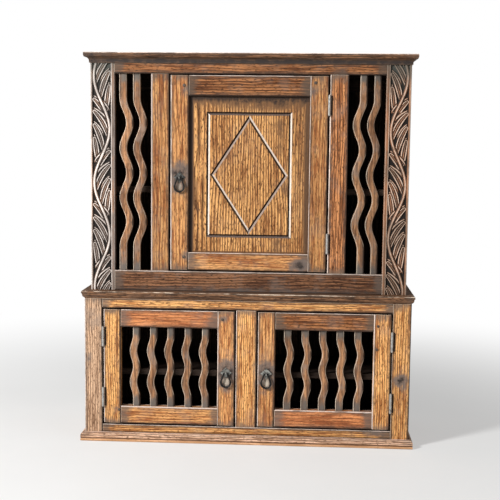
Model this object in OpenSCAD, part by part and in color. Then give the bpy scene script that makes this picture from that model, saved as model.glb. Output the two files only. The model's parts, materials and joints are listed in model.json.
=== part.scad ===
// Oak wall cabinet in two stages, with wavy splats, carved stiles and three doors
// Millimetres, X to the right, Y to the wall, Z up. The origin is the centre of the footprint.

/* [Stages] */
// Width of the lower stage across its corner stiles
base_w = 775; // [700:5:900]
// Depth of the lower stage from its front face to the wall
base_d = 270; // [230:5:330]
// Height of the lower stage, up to the waist board
base_h = 346; // [330:1:420]
// Width of the upper stage across its carved stiles
upper_w = 750; // [720:5:860]
// Height of the upper stage above the waist board
upper_h = 561; // [520:1:640]
// How far the upper stage stands back from the lower one
step_back = 20; // [10:1:30]

/* [Timber] */
// Thickness of the stiles and rails
frame_t = 20; // [19:0.5:24]
// Thickness of the sides, the bottom and the top board
board_t = 16; // [14:0.5:20]
// Thickness of the back boards
back_t = 10; // [8:0.5:12]
// Thickness of the waist board
waist_t = 18; // [16:0.5:22]
// Thickness of the shelves
shelf_t = 14; // [12:0.5:18]

/* [Lower frame] */
// Width of the lower corner stiles
base_stile_w = 43; // [38:1:50]
// Width of the stile between the lower doors
centre_stile_w = 49; // [44:1:60]
// Height of the rail above the lower doors
base_top_rail_h = 23; // [22:1:30]
// Height of the rail below the lower doors
base_bottom_rail_h = 40; // [36:1:50]

/* [Upper frame] */
// Width of the carved corner stiles
carved_stile_w = 57; // [50:1:64]
// Width of the stiles beside the upper door
inner_stile_w = 43; // [38:1:50]
// Width of the upper door opening
upper_opening_w = 376; // [340:1:390]
// Height of the rail below the upper door
upper_bottom_rail_h = 48; // [40:1:56]
// Height of the rail above the upper door, up to the top board
upper_top_rail_h = 32; // [28:1:40]

/* [Doors] */
// Running gap round each door
door_gap = 3; // [2.6:0.1:3.6]
// Width of the stiles of the upper door
upper_door_stile_w = 43; // [38:1:50]
// Height of the top rail of the upper door
upper_door_top_rail_h = 48; // [42:1:56]
// Height of the bottom rail of the upper door
upper_door_bottom_rail_h = 42; // [38:1:50]
// Width of the stiles of the lower doors
base_door_stile_w = 41; // [37:1:48]
// Height of the rails of the lower doors
base_door_rail_h = 42; // [36:1:48]

/* [Door panel] */
// Thickness of the panel
panel_t = 7; // [6:0.5:8]
// How far the panel lies behind the face of the door
panel_sink = 8; // [5:0.5:9]
// Depth of the groove that holds the panel
panel_groove_d = 8; // [6:0.5:10]
// Width of the incised lines
line_w = 8; // [5:0.5:10]
// Depth of the incised lines
line_d = 3.4; // [2:0.1:4]
// Width of the incised rectangle
rect_w = 193; // [170:1:210]
// Height of the incised rectangle
rect_h = 288; // [250:1:310]
// Width of the incised lozenge
lozenge_w = 174; // [140:1:176]
// Height of the incised lozenge
lozenge_h = 268; // [230:1:270]

/* [Wavy splats] */
// Width of every splat
splat_w = 18; // [14:0.5:20]
// Thickness of the upper splats
upper_splat_t = 11; // [9:0.5:12]
// Distance between the two splats of an upper side opening
upper_splat_pitch = 32.5; // [28:0.5:36]
// Sideways swing of an upper splat from its middle line
upper_wave_amp = 8; // [4:0.5:10]
// Length of one wave of an upper splat
upper_wave_l = 117; // [100:1:130]
// Thickness of the splats in the lower doors
door_splat_t = 9; // [8:0.5:10]
// Number of splats in each lower door
door_splat_n = 5; // [3:1:5]
// Distance between the splats of a lower door
door_splat_pitch = 41.5; // [38:0.5:44]
// Sideways swing of a door splat from its middle line
door_wave_amp = 4; // [2:0.5:6]
// Length of one wave of a door splat
door_wave_l = 76; // [60:1:84]
// How far the ends of a splat enter the rails
splat_socket_d = 8; // [5:0.5:9]

/* [Carving] */
// Plain border at the outer edge of a carved stile
border_outer_w = 5.6; // [4:0.2:9]
// Plain border at the inner edge of a carved stile
border_inner_w = 8.6; // [5:0.2:10]
// Depth of the carved ground
carve_d = 3.6; // [2:0.1:4.5]
// Width of the winding stem
stem_w = 6; // [4:0.5:8]
// Height of one full turn of the stem
stem_turn_l = 228; // [200:1:260]
// Number of leaves in each bend of the stem
leaf_n = 4; // [3:1:5]
// Length of a leaf, measured up the stile
leaf_l = 62; // [50:1:70]
// Greatest width of a leaf
leaf_w = 11; // [8:0.5:13]

/* [Mouldings] */
// Height of the plinth moulding
plinth_h = 21; // [18:1:28]
// How far the plinth stands out
mould_out = 10; // [9.5:0.5:14]
// How far the waist board stands out
waist_out = 7; // [6:0.5:9]
// Height of the cornice
cornice_h = 24; // [20:1:30]
// How far the cornice stands out
cornice_out = 14; // [12:1:20]

/* [Joinery] */
// Thickness of the tenons
tenon_t = 7; // [5:0.5:8]
// How far the tenons lie behind the face of the frame
tenon_in = 7; // [6:0.5:8]
// Length of the rail tenons
tenon_l = 24; // [16:1:28]
// Length of the stub tenons of the upright pieces
stub_l = 12; // [8:1:14]
// Step between the edge of a rail and its tenon
shoulder = 4; // [3:0.5:5]
// Clearance round tenons, tongues and sockets
joint_gap = 0.2; // [0.1:0.05:0.4]
// Depth of the housings that hold boards in the sides
housing_d = 6; // [4:0.5:8]
// Width and depth of the tongue on the front edge of a side
tongue = 6; // [4:0.5:7]

/* [Hinges] */
// Length of a hinge
hinge_l = 45; // [40:1:60]
// Radius of the hinge knuckles
knuckle_r = 3; // [2.8:0.1:3.4]
// Radius of the hinge pins
hinge_pin_r = 1.5; // [1.2:0.1:1.7]
// Running clearance between a pin and its knuckles
pin_gap = 0.06; // [0.02:0.01:0.1]
// Width of a hinge leaf inside the joint
leaf_plate_w = 16; // [12:1:18]
// Distance from the end of the upper door to the middle of a hinge
upper_hinge_in = 68; // [40:1:90]
// Distance from the end of a lower door to the middle of a hinge
base_hinge_in = 65; // [40:1:80]

/* [Pulls] */
// Radius of the rod of a pull, at its bar and sides
rod_r = 1.9; // [1.8:0.05:2]
// Radius of the rod at the round end, which is forged thicker
round_end_r = 2.3; // [2.1:0.1:2.5]
// Half length of the straight bar at the top of a pull
pull_bar_half = 4.4; // [4.2:0.1:6]
// Distance from the bar down to the centre of the round end
pull_drop = 21.5; // [18:0.5:26]
// Radius of the round end, to the middle of the rod
pull_round_r = 11.3; // [9.5:0.1:13]
// Width of the lozenge-shaped backplate
pull_plate_w = 28; // [24:1:34]
// Height of the backplate
pull_plate_h = 26; // [22:1:36]
// Thickness of the backplate
pull_plate_t = 1.6; // [1:0.1:2]
// Distance from the face of the door to the bar
pull_out = 5.8; // [5.7:0.05:6]
// How far the bar lies below the middle of the door
pull_below_mid = 10; // [0:1:40]

/* [Inside] */
// Height of the shelf in the lower stage, to its top
base_shelf_z = 165; // [120:1:240]
// Height of the shelf in the upper stage above the waist board
upper_shelf_z = 246; // [160:1:380]
// Distance from the back of the front frame to a shelf
shelf_set_back = 34; // [20:1:60]
// Width and height of the battens that carry the shelves
bearer_s = 16; // [12:1:20]
// Number of boards across each back
back_board_n = 6; // [4:1:8]
// Height of the rail that hangs the cabinet
hanging_rail_h = 60; // [40:1:80]
// Thickness of the rail that hangs the cabinet
hanging_rail_t = 18; // [14:1:22]
// Distance between the two wall screws
screw_spacing = 400; // [300:10:440]
// Radius of the wall screw holes
screw_hole_r = 3.5; // [2.5:0.25:4.5]

/* [Hidden] */
$fn = 48;

oak_honey = [0.60, 0.36, 0.16];
oak_brown = [0.42, 0.24, 0.12];
oak_dark = [0.28, 0.17, 0.10];
oak_golden = [0.66, 0.42, 0.19];
oak_inside = [0.33, 0.22, 0.14];
iron_dark = [0.24, 0.24, 0.23];
steel_worn = [0.62, 0.61, 0.57];

// Planes of the two stages
front_y = (mould_out - base_d) / 2;
back_y = front_y + base_d;
upper_y = front_y + step_back;
base_half = base_w / 2;
upper_half = upper_w / 2;
upper_floor_z = base_h + waist_t;
top_z = upper_floor_z + upper_h;
lid_z = top_z - board_t;
inner_back_y = back_y - back_t;

// Openings of the lower frame
base_open_x = base_half - base_stile_w;
base_open_z0 = base_bottom_rail_h;
base_open_z1 = base_h - base_top_rail_h;

// Openings of the upper frame
side_open_x1 = upper_half - carved_stile_w;
upper_open_x = upper_opening_w / 2;
side_open_x0 = upper_open_x + inner_stile_w;
upper_open_z0 = upper_floor_z + upper_bottom_rail_h;
upper_open_z1 = lid_z - upper_top_rail_h;
side_open_mid_x = (side_open_x0 + side_open_x1) / 2;

// Outer edges of the doors
upper_door_x = upper_open_x - door_gap;
upper_door_z0 = upper_open_z0 + door_gap;
upper_door_z1 = upper_open_z1 - door_gap;
base_door_x0 = centre_stile_w / 2 + door_gap;
base_door_x1 = base_open_x - door_gap;
base_door_z0 = base_open_z0 + door_gap;
base_door_z1 = base_open_z1 - door_gap;

// Openings inside the door frames
panel_x = upper_door_x - upper_door_stile_w;
panel_z0 = upper_door_z0 + upper_door_bottom_rail_h;
panel_z1 = upper_door_z1 - upper_door_top_rail_h;
splat_x0 = base_door_x0 + base_door_stile_w;
splat_x1 = base_door_x1 - base_door_stile_w;
splat_z0 = base_door_z0 + base_door_rail_h;
splat_z1 = base_door_z1 - base_door_rail_h;

// Hinges: the leaves fill the gap beside the door, and the knuckles stand proud of it
leaf_gap = 0.2;
leaf_plate_t = (door_gap - leaf_gap) / 2;
knuckle_n = 5;
knuckle_l = hinge_l / knuckle_n;
knuckle_gap = 0.3;
hinge_out = knuckle_r + 0.6;
pin_head_r = hinge_pin_r + 0.9;
pin_head_h = 1.4;

// Pulls: an eye on the plate carries the bar of the ring
eye_r = 4;
eye_w = 3.4;
eye_gap = 0.08;
root_l = 1;
shank_r = 1.9;
clench_l = 16;
clench_t = 1.6;
clench_h = 3.6;
plate_above_bar = 1;
plate_notches = 3;
plate_notch_d = 1.3;

stop_over = 8;
stop_t = 12;
stop_l = 60;
lap_w = 8;
lap_gap = 0.3;
rebate_w = 8;
shelf_side_gap = 0.5;
nosing = 2;

// Plain boards

module block(x0, x1, y0, y1, z0, z1) {
    translate([x0, y0, z0]) cube([x1 - x0, y1 - y0, z1 - z0]);
}

// Copies the right-hand piece to the left
module on_left() {
    mirror([1, 0, 0]) children();
}

module both_sides() {
    children();
    on_left() children();
}

// Extrudes a drawing in X and Z towards the wall, from y0 to y1
module extrude_y(y0, y1) {
    translate([0, y1, 0]) rotate([90, 0, 0]) linear_extrude(y1 - y0) children();
}

// Extrudes a drawing in Y and Z along X, from x0 to x1
module extrude_x(x0, x1) {
    translate([x0, 0, 0]) rotate([90, 0, 90]) linear_extrude(x1 - x0) children();
}

// Bar with the section of a tenon, through a rail and past both its ends
module rail_tenon(x0, x1, z0, z1, y, grow = 0) {
    block(x0 - tenon_l - grow, x1 + tenon_l + grow,
        y + tenon_in - grow, y + tenon_in + tenon_t + grow,
        z0 + shoulder - grow, z1 - shoulder + grow);
}

// Bar with the section of a stub tenon, through an upright and past both its ends
module stub_tenon(x0, x1, z0, z1, y, grow = 0) {
    block(x0 + shoulder - grow, x1 - shoulder + grow,
        y + tenon_in - grow, y + tenon_in + tenon_t + grow,
        z0 - stub_l - grow, z1 + stub_l + grow);
}

// Lower stage

module base_rail_tenons(grow = 0) {
    rail_tenon(-base_open_x, base_open_x, 0, base_open_z0, front_y, grow);
    rail_tenon(-base_open_x, base_open_x, base_open_z1, base_h, front_y, grow);
}

module side_tongue(half, y, z0, z1, grow = 0) {
    mid = half - board_t / 2;
    block(mid - tongue / 2 - grow, mid + tongue / 2 + grow,
        y + frame_t - tongue - grow, y + frame_t + tongue, z0, z1);
}

module base_stile() {
    difference() {
        block(base_open_x, base_half, front_y, front_y + frame_t, 0, base_h);
        base_rail_tenons(joint_gap);
        side_tongue(base_half, front_y, -1, base_h + 1, joint_gap);
    }
}

module base_stile_left() {
    color(oak_honey) on_left() base_stile();
}

module base_stile_right() {
    color(oak_honey) base_stile();
}

module centre_stub(grow = 0) {
    stub_tenon(-centre_stile_w / 2, centre_stile_w / 2, base_open_z0, base_open_z1,
        front_y, grow);
}

module base_centre_stile() {
    color(oak_golden) union() {
        block(-centre_stile_w / 2, centre_stile_w / 2, front_y, front_y + frame_t,
            base_open_z0, base_open_z1);
        centre_stub();
    }
}

module base_top_rail() {
    color(oak_golden) difference() {
        union() {
            block(-base_open_x, base_open_x, front_y, front_y + frame_t,
                base_open_z1, base_h);
            rail_tenon(-base_open_x, base_open_x, base_open_z1, base_h, front_y);
        }
        centre_stub(joint_gap);
    }
}

module base_bottom_rail() {
    color(oak_golden) difference() {
        union() {
            block(-base_open_x, base_open_x, front_y, front_y + frame_t,
                0, base_open_z0);
            rail_tenon(-base_open_x, base_open_x, 0, base_open_z0, front_y);
        }
        centre_stub(joint_gap);
    }
}

// The bottom board, level with the top of the bottom rail and housed in the sides
module base_bottom_blank(grow = 0) {
    reach = base_half - board_t + housing_d;
    block(-reach - grow, reach + grow, front_y + frame_t, inner_back_y,
        base_open_z0 - board_t - grow, base_open_z0 + grow);
}

module base_bottom_board() {
    color(oak_inside) base_bottom_blank();
}

// A side board with its front tongue and the rebate for the back boards
module side_board(half, y, z0, z1) {
    difference() {
        union() {
            block(half - board_t, half, y + frame_t, back_y, z0, z1);
            side_tongue(half, y, z0, z1);
        }
        block(half - board_t - 1, half - board_t + rebate_w, inner_back_y, back_y + 1,
            z0 - 1, z1 + 1);
    }
}

module base_side() {
    difference() {
        side_board(base_half, front_y, 0, base_h);
        base_bottom_blank(joint_gap);
    }
}

module base_side_left() {
    color(oak_brown) on_left() base_side();
}

module base_side_right() {
    color(oak_brown) base_side();
}

// Shiplapped upright boards that lie in the rebates of the sides
module back_boards(half, z0, z1) {
    reach = half - board_t + rebate_w;
    pitch = 2 * reach / back_board_n;
    front_y1 = (inner_back_y + back_y - lap_gap) / 2;
    rear_y0 = front_y1 + lap_gap;
    for (i = [0 : back_board_n - 1]) {
        x0 = -reach + i * pitch;
        x1 = x0 + pitch;
        front_x0 = i == 0 ? x0 : x0 + lap_gap;
        rear_x0 = i == 0 ? x0 : x0 + lap_w + lap_gap;
        rear_x1 = i == back_board_n - 1 ? x1 : x1 + lap_w;
        translate([0, 0, z0]) linear_extrude(z1 - z0) polygon([
            [front_x0, inner_back_y], [x1, inner_back_y], [x1, rear_y0], [rear_x1, rear_y0],
            [rear_x1, back_y], [rear_x0, back_y], [rear_x0, front_y1], [front_x0, front_y1]]);
    }
}

module base_back_boards() {
    color(oak_inside) back_boards(base_half, 0, base_h);
}

module shelf(half, y, z) {
    reach = half - board_t - shelf_side_gap;
    block(-reach, reach, y + frame_t + shelf_set_back, inner_back_y, z - shelf_t, z);
}

// Battens under a shelf, fixed to the sides
module shelf_bearers(half, y, z) {
    both_sides() block(half - board_t - bearer_s, half - board_t,
        y + frame_t + shelf_set_back, inner_back_y, z - shelf_t - bearer_s, z - shelf_t);
}

module base_shelf() {
    color(oak_inside) shelf(base_half, front_y, base_shelf_z);
}

module base_shelf_bearers() {
    color(oak_inside) shelf_bearers(base_half, front_y, base_shelf_z);
}

// Block behind the centre stile that both lower doors close against
module base_door_stop() {
    reach = centre_stile_w / 2 + stop_over;
    color(oak_inside) block(-reach, reach, front_y + frame_t, front_y + frame_t + stop_t,
        base_open_z1 - stop_l - shoulder, base_open_z1 - shoulder);
}

// Mouldings. Each profile is drawn from the face it is planted on, outwards in X

function arc(cx, cy, r, a0, a1, n) =
    [for (i = [0 : n]) let (a = a0 + (a1 - a0) * i / n) [cx + r * cos(a), cy + r * sin(a)]];

// Plinth: a fillet, an incised line, and an ovolo at the top
module plinth_profile(out, h) {
    line_r = 1;
    round_r = out - 2;
    polygon(concat([[0, 0], [out, 0]],
        arc(out, h * 0.3, line_r, -90, -270, 8),
        [[out, h - round_r]],
        arc(out - round_r, h - round_r, round_r, 0, 90, 12),
        [[0, h]]));
}

// Cornice: a small foot, a hollow, a bead and a fillet at the top
module cornice_profile(out, h) {
    fillet_h = h * 0.32;
    bead_r = 1.6;
    foot = 2.5;
    hollow_r = min(out - foot - 1.5, h - fillet_h - 2 * bead_r - foot);
    hollow_z = h - fillet_h - 2 * bead_r;
    polygon(concat([[0, 0], [foot, 0]],
        arc(foot + hollow_r, hollow_z - hollow_r, hollow_r, 180, 90, 12),
        arc(out - bead_r - 0.6, h - fillet_h - bead_r, bead_r, -90, 90, 8),
        [[out, h - fillet_h], [out, h], [0, h]]));
}

// A moulding along the front, cut to a mitre at both ends
module front_moulding(half, y, z, out) {
    intersection() {
        translate([0, y, z]) mirror([0, 1, 0]) extrude_x(-half - out, half + out) children();
        linear_extrude(top_z + 1) polygon([[-half, y], [half, y],
            [half + out, y - out], [-half - out, y - out]]);
    }
}

// A moulding back along the right side, cut to a mitre at its front end
module return_moulding(half, y, z, out) {
    intersection() {
        translate([half, 0, z]) extrude_y(y - out, back_y) children();
        linear_extrude(top_z + 1) polygon([[half, y], [half + out, y - out],
            [half + out, back_y + 1], [half, back_y + 1]]);
    }
}

module plinth_front() {
    color(oak_dark) front_moulding(base_half, front_y, 0, mould_out)
        plinth_profile(mould_out, plinth_h);
}

module plinth_returns() {
    color(oak_dark) both_sides() return_moulding(base_half, front_y, 0, mould_out)
        plinth_profile(mould_out, plinth_h);
}

// Edge of the waist board: a fillet over an ovolo and a small step. The board's
// middle is at 0 and its edge at reach
module waist_profile(reach) {
    fillet_h = waist_t * 0.34;
    step = 1.6;
    under = reach - waist_out;
    far = reach * 2;
    ovolo = [for (p = arc(0, 0, 1, -90, 0, 12))
        [under + (waist_out - step) * p[0], waist_t - fillet_h + (waist_t - fillet_h - step) * p[1]]];
    polygon(concat([[-far, 0], [under, 0]], ovolo,
        [[reach, waist_t - fillet_h], [reach, waist_t - nosing]],
        arc(reach - nosing, waist_t - nosing, nosing, 0, 90, 5),
        [[-far, waist_t]]));
}

module waist_board() {
    reach_x = base_half + waist_out;
    reach_y = base_d / 2 + waist_out;
    mid_y = front_y + base_d / 2;
    color(oak_dark) translate([0, 0, base_h]) intersection() {
        extrude_y(front_y - waist_out, back_y) waist_profile(reach_x);
        extrude_y(front_y - waist_out, back_y) mirror([1, 0]) waist_profile(reach_x);
        translate([0, mid_y, 0]) mirror([0, 1, 0]) extrude_x(-reach_x, reach_x)
            intersection() {
                waist_profile(reach_y);
                translate([-base_d / 2, -1]) square([2 * base_d, waist_t + 2]);
            }
    }
}

// Upper stage

module upper_rail_tenons(grow = 0) {
    rail_tenon(-side_open_x1, side_open_x1, upper_floor_z, upper_open_z0, upper_y, grow);
    rail_tenon(-side_open_x1, side_open_x1, upper_open_z1, lid_z, upper_y, grow);
}

carve_x0 = side_open_x1 + border_inner_w;
carve_x1 = upper_half - border_outer_w;
carve_mid_x = (carve_x0 + carve_x1) / 2;
carve_z0 = upper_floor_z + border_inner_w;
carve_z1 = top_z - cornice_h - border_outer_w;
stem_amp = (carve_x1 - carve_x0 - stem_w) / 2;
// The stem bends outwards here and at every full turn from it
stem_out_z = (upper_floor_z + top_z - cornice_h) / 2;
relief_low = 0.3;

function stem_x(z) = carve_mid_x + stem_amp * cos(360 * (z - stem_out_z) / stem_turn_l);

// The winding stem between two heights
module stem(z0, z1) {
    n = 64;
    half = stem_w / 2;
    heights = [for (i = [0 : n]) z0 + (z1 - z0) * i / n];
    polygon(concat([for (z = heights) [stem_x(z) - half, z]],
        [for (i = [n : -1 : 0]) [stem_x(heights[i]) + half, heights[i]]]));
}

// A leaf from the stem at height z, sweeping up and over to the border at x
function leaf_mid(z, x, t) =
    let (x0 = stem_x(z), c = x0 + (x0 > x ? -1 : 1) * leaf_w * 0.1)
    [(1 - t) * (1 - t) * x0 + 2 * t * (1 - t) * c + t * t * x,
        z + leaf_l * (1 - (1 - t) * (1 - t) * 0.55 - (1 - t) * 0.45)];

module leaf(z, x) {
    n = 10;
    steps = [for (i = [0 : n]) i / n];
    function across(t) = let (d = leaf_mid(z, x, t + 0.01) - leaf_mid(z, x, t - 0.01))
        [-d[1], d[0]] / norm(d);
    function wide(t) = leaf_w / 2 * pow(sin(180 * pow(t, 1.35)), 0.6) + 0.4;
    polygon(concat([for (t = steps) leaf_mid(z, x, t) + wide(t) * across(t)],
        [for (i = [n : -1 : 0]) leaf_mid(z, x, steps[i]) - wide(steps[i]) * across(steps[i])]));
}

// Leaves fill each bend of the stem, on the side that the stem leaves open
module leaves() {
    bend_l = stem_turn_l / 2;
    pitch = bend_l / leaf_n;
    first = -ceil((stem_out_z - carve_z0) / bend_l);
    last = ceil((carve_z1 - stem_out_z) / bend_l);
    for (k = [first : last], i = [0 : leaf_n - 1]) {
        foot_z = stem_out_z + k * bend_l + (i - leaf_n / 2) * pitch - leaf_l / 2;
        open_x = k % 2 == 0 ? carve_x0 : carve_x1;
        leaf(foot_z, open_x);
    }
}

// The sunk ground of a carved stile, with the stem and the leaves left standing
module carved_ground() {
    difference() {
        block(carve_x0, carve_x1, upper_y - 1, upper_y + carve_d, carve_z0, carve_z1);
        extrude_y(upper_y + relief_low, upper_y + carve_d + 1) stem(carve_z0, carve_z1);
        extrude_y(upper_y + relief_low, upper_y + carve_d + 1) leaves();
    }
}

module carved_stile() {
    difference() {
        block(side_open_x1, upper_half, upper_y, upper_y + frame_t, upper_floor_z, lid_z);
        carved_ground();
        upper_rail_tenons(joint_gap);
        side_tongue(upper_half, upper_y, upper_floor_z - 1, lid_z + 1, joint_gap);
    }
}

module carved_stile_left() {
    color(oak_dark) on_left() carved_stile();
}

module carved_stile_right() {
    color(oak_dark) carved_stile();
}

module inner_stub(grow = 0) {
    stub_tenon(upper_open_x, side_open_x0, upper_open_z0, upper_open_z1, upper_y, grow);
}

module inner_stile() {
    block(upper_open_x, side_open_x0, upper_y, upper_y + frame_t,
        upper_open_z0, upper_open_z1);
    inner_stub();
}

module inner_stile_left() {
    color(oak_honey) on_left() inner_stile();
}

module inner_stile_right() {
    color(oak_honey) inner_stile();
}

// Outline of a splat about x = 0 and z = 0: waves in the middle and straight ends.
// A positive swing starts at the middle, towards +X
function splat_mid(z, amp, wave_l, waves) =
    amp * cos(360 * max(-waves / 2, min(waves / 2, z / wave_l)));

module splat_outline(length, amp, wave_l, waves) {
    wavy_l = waves * wave_l;
    n = waves * 16;
    half = splat_w / 2;
    heights = concat([-length / 2], [for (i = [0 : n]) wavy_l * (i / n - 0.5)], [length / 2]);
    last = len(heights) - 1;
    polygon(concat(
        [for (z = heights) [splat_mid(z, amp, wave_l, waves) - half, z]],
        [for (i = [last : -1 : 0])
            [splat_mid(heights[i], amp, wave_l, waves) + half, heights[i]]]));
}

upper_waves = 3;
upper_splat_mid_z = (upper_open_z0 + upper_open_z1) / 2;
upper_splat_y = upper_y + (frame_t - upper_splat_t) / 2;

module upper_splats() {
    for (side = [-0.5, 0.5])
        translate([side_open_mid_x + side * upper_splat_pitch, 0, upper_splat_mid_z])
            extrude_y(upper_splat_y, upper_splat_y + upper_splat_t)
                mirror([1, 0]) splat_outline(
                    upper_open_z1 - upper_open_z0 + 2 * splat_socket_d,
                    upper_wave_amp, upper_wave_l, upper_waves);
}

// The rails take the straight ends of the splats
module upper_splat_sockets() {
    end_x = upper_wave_amp;
    reach = splat_w / 2 + joint_gap;
    for (side = [-0.5, 0.5])
        translate([side_open_mid_x + side * upper_splat_pitch + end_x, 0, 0])
            block(-reach, reach, upper_splat_y - joint_gap,
                upper_splat_y + upper_splat_t + joint_gap,
                upper_open_z0 - splat_socket_d - joint_gap,
                upper_open_z1 + splat_socket_d + joint_gap);
}

module upper_splats_left() {
    color(oak_brown) on_left() upper_splats();
}

module upper_splats_right() {
    color(oak_brown) upper_splats();
}

module upper_rail(z0, z1) {
    difference() {
        union() {
            block(-side_open_x1, side_open_x1, upper_y, upper_y + frame_t, z0, z1);
            rail_tenon(-side_open_x1, side_open_x1, z0, z1, upper_y);
        }
        both_sides() inner_stub(joint_gap);
        both_sides() upper_splat_sockets();
    }
}

module upper_top_rail() {
    color(oak_brown) upper_rail(upper_open_z1, lid_z);
}

module upper_bottom_rail() {
    color(oak_dark) upper_rail(upper_floor_z, upper_open_z0);
}

// The rail across the back that the wall screws go through
module hanging_rail_blank(grow = 0) {
    reach = upper_half - board_t + housing_d;
    block(-reach - grow, reach + grow, inner_back_y - hanging_rail_t - grow, inner_back_y,
        lid_z - hanging_rail_h - grow, lid_z);
}

module wall_screw_holes() {
    for (x = [-screw_spacing / 2, screw_spacing / 2])
        translate([x, inner_back_y - hanging_rail_t - 1, lid_z - hanging_rail_h / 2])
            rotate([-90, 0, 0]) cylinder(h = hanging_rail_t + back_t + 2, r = screw_hole_r);
}

module hanging_rail() {
    color(oak_inside) difference() {
        hanging_rail_blank();
        wall_screw_holes();
    }
}

module upper_side() {
    difference() {
        side_board(upper_half, upper_y, upper_floor_z, lid_z);
        hanging_rail_blank(joint_gap);
    }
}

module upper_side_left() {
    color(oak_brown) on_left() upper_side();
}

module upper_side_right() {
    color(oak_brown) upper_side();
}

module upper_back_boards() {
    color(oak_inside) difference() {
        back_boards(upper_half, upper_floor_z, lid_z);
        wall_screw_holes();
    }
}

module upper_shelf() {
    color(oak_inside) shelf(upper_half, upper_y, upper_floor_z + upper_shelf_z);
}

module upper_shelf_bearers() {
    color(oak_inside) shelf_bearers(upper_half, upper_y, upper_floor_z + upper_shelf_z);
}

// Block behind the left inner stile that the upper door closes against
module upper_door_stop() {
    color(oak_inside) block(-side_open_x0, -upper_open_x + stop_over,
        upper_y + frame_t, upper_y + frame_t + stop_t,
        upper_open_z1 - 2 * stop_l, upper_open_z1 - stop_l);
}

module top_board() {
    color(oak_brown) block(-upper_half, upper_half, upper_y, back_y, lid_z, top_z);
}

module cornice_front() {
    color(oak_dark) front_moulding(upper_half, upper_y, top_z - cornice_h, cornice_out)
        cornice_profile(cornice_out, cornice_h);
}

module cornice_returns() {
    color(oak_dark) both_sides()
        return_moulding(upper_half, upper_y, top_z - cornice_h, cornice_out)
            cornice_profile(cornice_out, cornice_h);
}

// Hinges, drawn about the pin axis with the door on the -X side

// Every second knuckle from the first one, with the strip that joins it to its leaf
module knuckles(first, turn_side) {
    for (i = [first : 2 : knuckle_n - 1]) {
        z0 = -hinge_l / 2 + i * knuckle_l + knuckle_gap / 2;
        translate([0, 0, z0]) cylinder(h = knuckle_l - knuckle_gap, r = knuckle_r);
        x0 = turn_side > 0 ? leaf_gap / 2 : -leaf_gap / 2 - leaf_plate_t;
        block(x0, x0 + leaf_plate_t, 0, hinge_out + 1, z0, z0 + knuckle_l - knuckle_gap);
    }
}

module hinge_leaf(first, turn_side) {
    x0 = turn_side > 0 ? leaf_gap / 2 : -leaf_gap / 2 - leaf_plate_t;
    difference() {
        union() {
            knuckles(first, turn_side);
            block(x0, x0 + leaf_plate_t, hinge_out, hinge_out + leaf_plate_w,
                -hinge_l / 2, hinge_l / 2);
        }
        translate([0, 0, -hinge_l]) cylinder(h = 2 * hinge_l, r = hinge_pin_r + pin_gap);
    }
}

module hinge_pin() {
    translate([0, 0, -hinge_l / 2 - pin_head_h])
        cylinder(h = hinge_l + 2 * pin_head_h, r = hinge_pin_r);
    for (z = [-hinge_l / 2 - pin_head_h, hinge_l / 2])
        translate([0, 0, z]) cylinder(h = pin_head_h, r = pin_head_r);
}

// Places two hinges on the right-hand edge of a door
module at_hinges(x, y, z0, z1, inset) {
    for (z = [z0 + inset, z1 - inset])
        translate([x + door_gap / 2, y - hinge_out, z]) children();
}

module at_upper_hinges() {
    at_hinges(upper_door_x, upper_y, upper_door_z0, upper_door_z1, upper_hinge_in)
        children();
}

module at_base_hinges() {
    at_hinges(base_door_x1, front_y, base_door_z0, base_door_z1, base_hinge_in)
        children();
}

module hinge_frame_leaves() {
    color(steel_worn) {
        at_upper_hinges() hinge_leaf(0, 1);
        both_sides() at_base_hinges() hinge_leaf(0, 1);
    }
}

module hinge_pins() {
    color(steel_worn) {
        at_upper_hinges() hinge_pin();
        both_sides() at_base_hinges() hinge_pin();
    }
}

module upper_door_hinge_leaves() {
    color(steel_worn) at_upper_hinges() hinge_leaf(1, -1);
}

module left_door_hinge_leaves() {
    color(steel_worn) on_left() at_base_hinges() hinge_leaf(1, -1);
}

module right_door_hinge_leaves() {
    color(steel_worn) at_base_hinges() hinge_leaf(1, -1);
}

// Pulls, drawn about the middle of the bar, with the door behind at y = pull_out

// A straight rod between two points in X and Z
module rod(p, q) {
    d = q - p;
    translate([p[0], 0, p[1]]) rotate([0, atan2(d[0], d[1]), 0])
        cylinder(h = norm(d), r = rod_r);
}

// Pear-shaped ring: a short bar, two straight sides and a round end that they touch
module ring() {
    corner = [pull_bar_half, 0];
    centre = [0, -pull_drop];
    reach = norm(centre - corner);
    side_l = sqrt(reach * reach - pull_round_r * pull_round_r);
    side_angle = atan2(centre[1] - corner[1], centre[0] - corner[0])
        + asin(pull_round_r / reach);
    touch = corner + side_l * [cos(side_angle), sin(side_angle)];
    touch_angle = atan2(touch[1] - centre[1], touch[0]);
    rod([-pull_bar_half, 0], corner);
    both_sides() {
        rod(corner, touch + root_l * (touch - corner) / side_l);
        translate([pull_bar_half, 0, 0]) sphere(r = rod_r + 0.15);
    }
    translate([0, 0, -pull_drop]) rotate([90, 0, 0]) rotate([0, 0, 180 - touch_angle])
        rotate_extrude(angle = 180 + 2 * touch_angle)
            translate([pull_round_r, 0]) circle(r = round_end_r);
}

// One side of the lozenge, from a to b, with filed notches that point to its middle
function notched_side(a, b) =
    let (step = (b - a) / (plate_notches + 1),
        inwards = -plate_notch_d * (a + b) / norm(a + b))
    [a, for (k = [1:plate_notches]) each
        [a + step * (k - 0.3), a + step * k + inwards, a + step * (k + 0.3)]];

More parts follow.
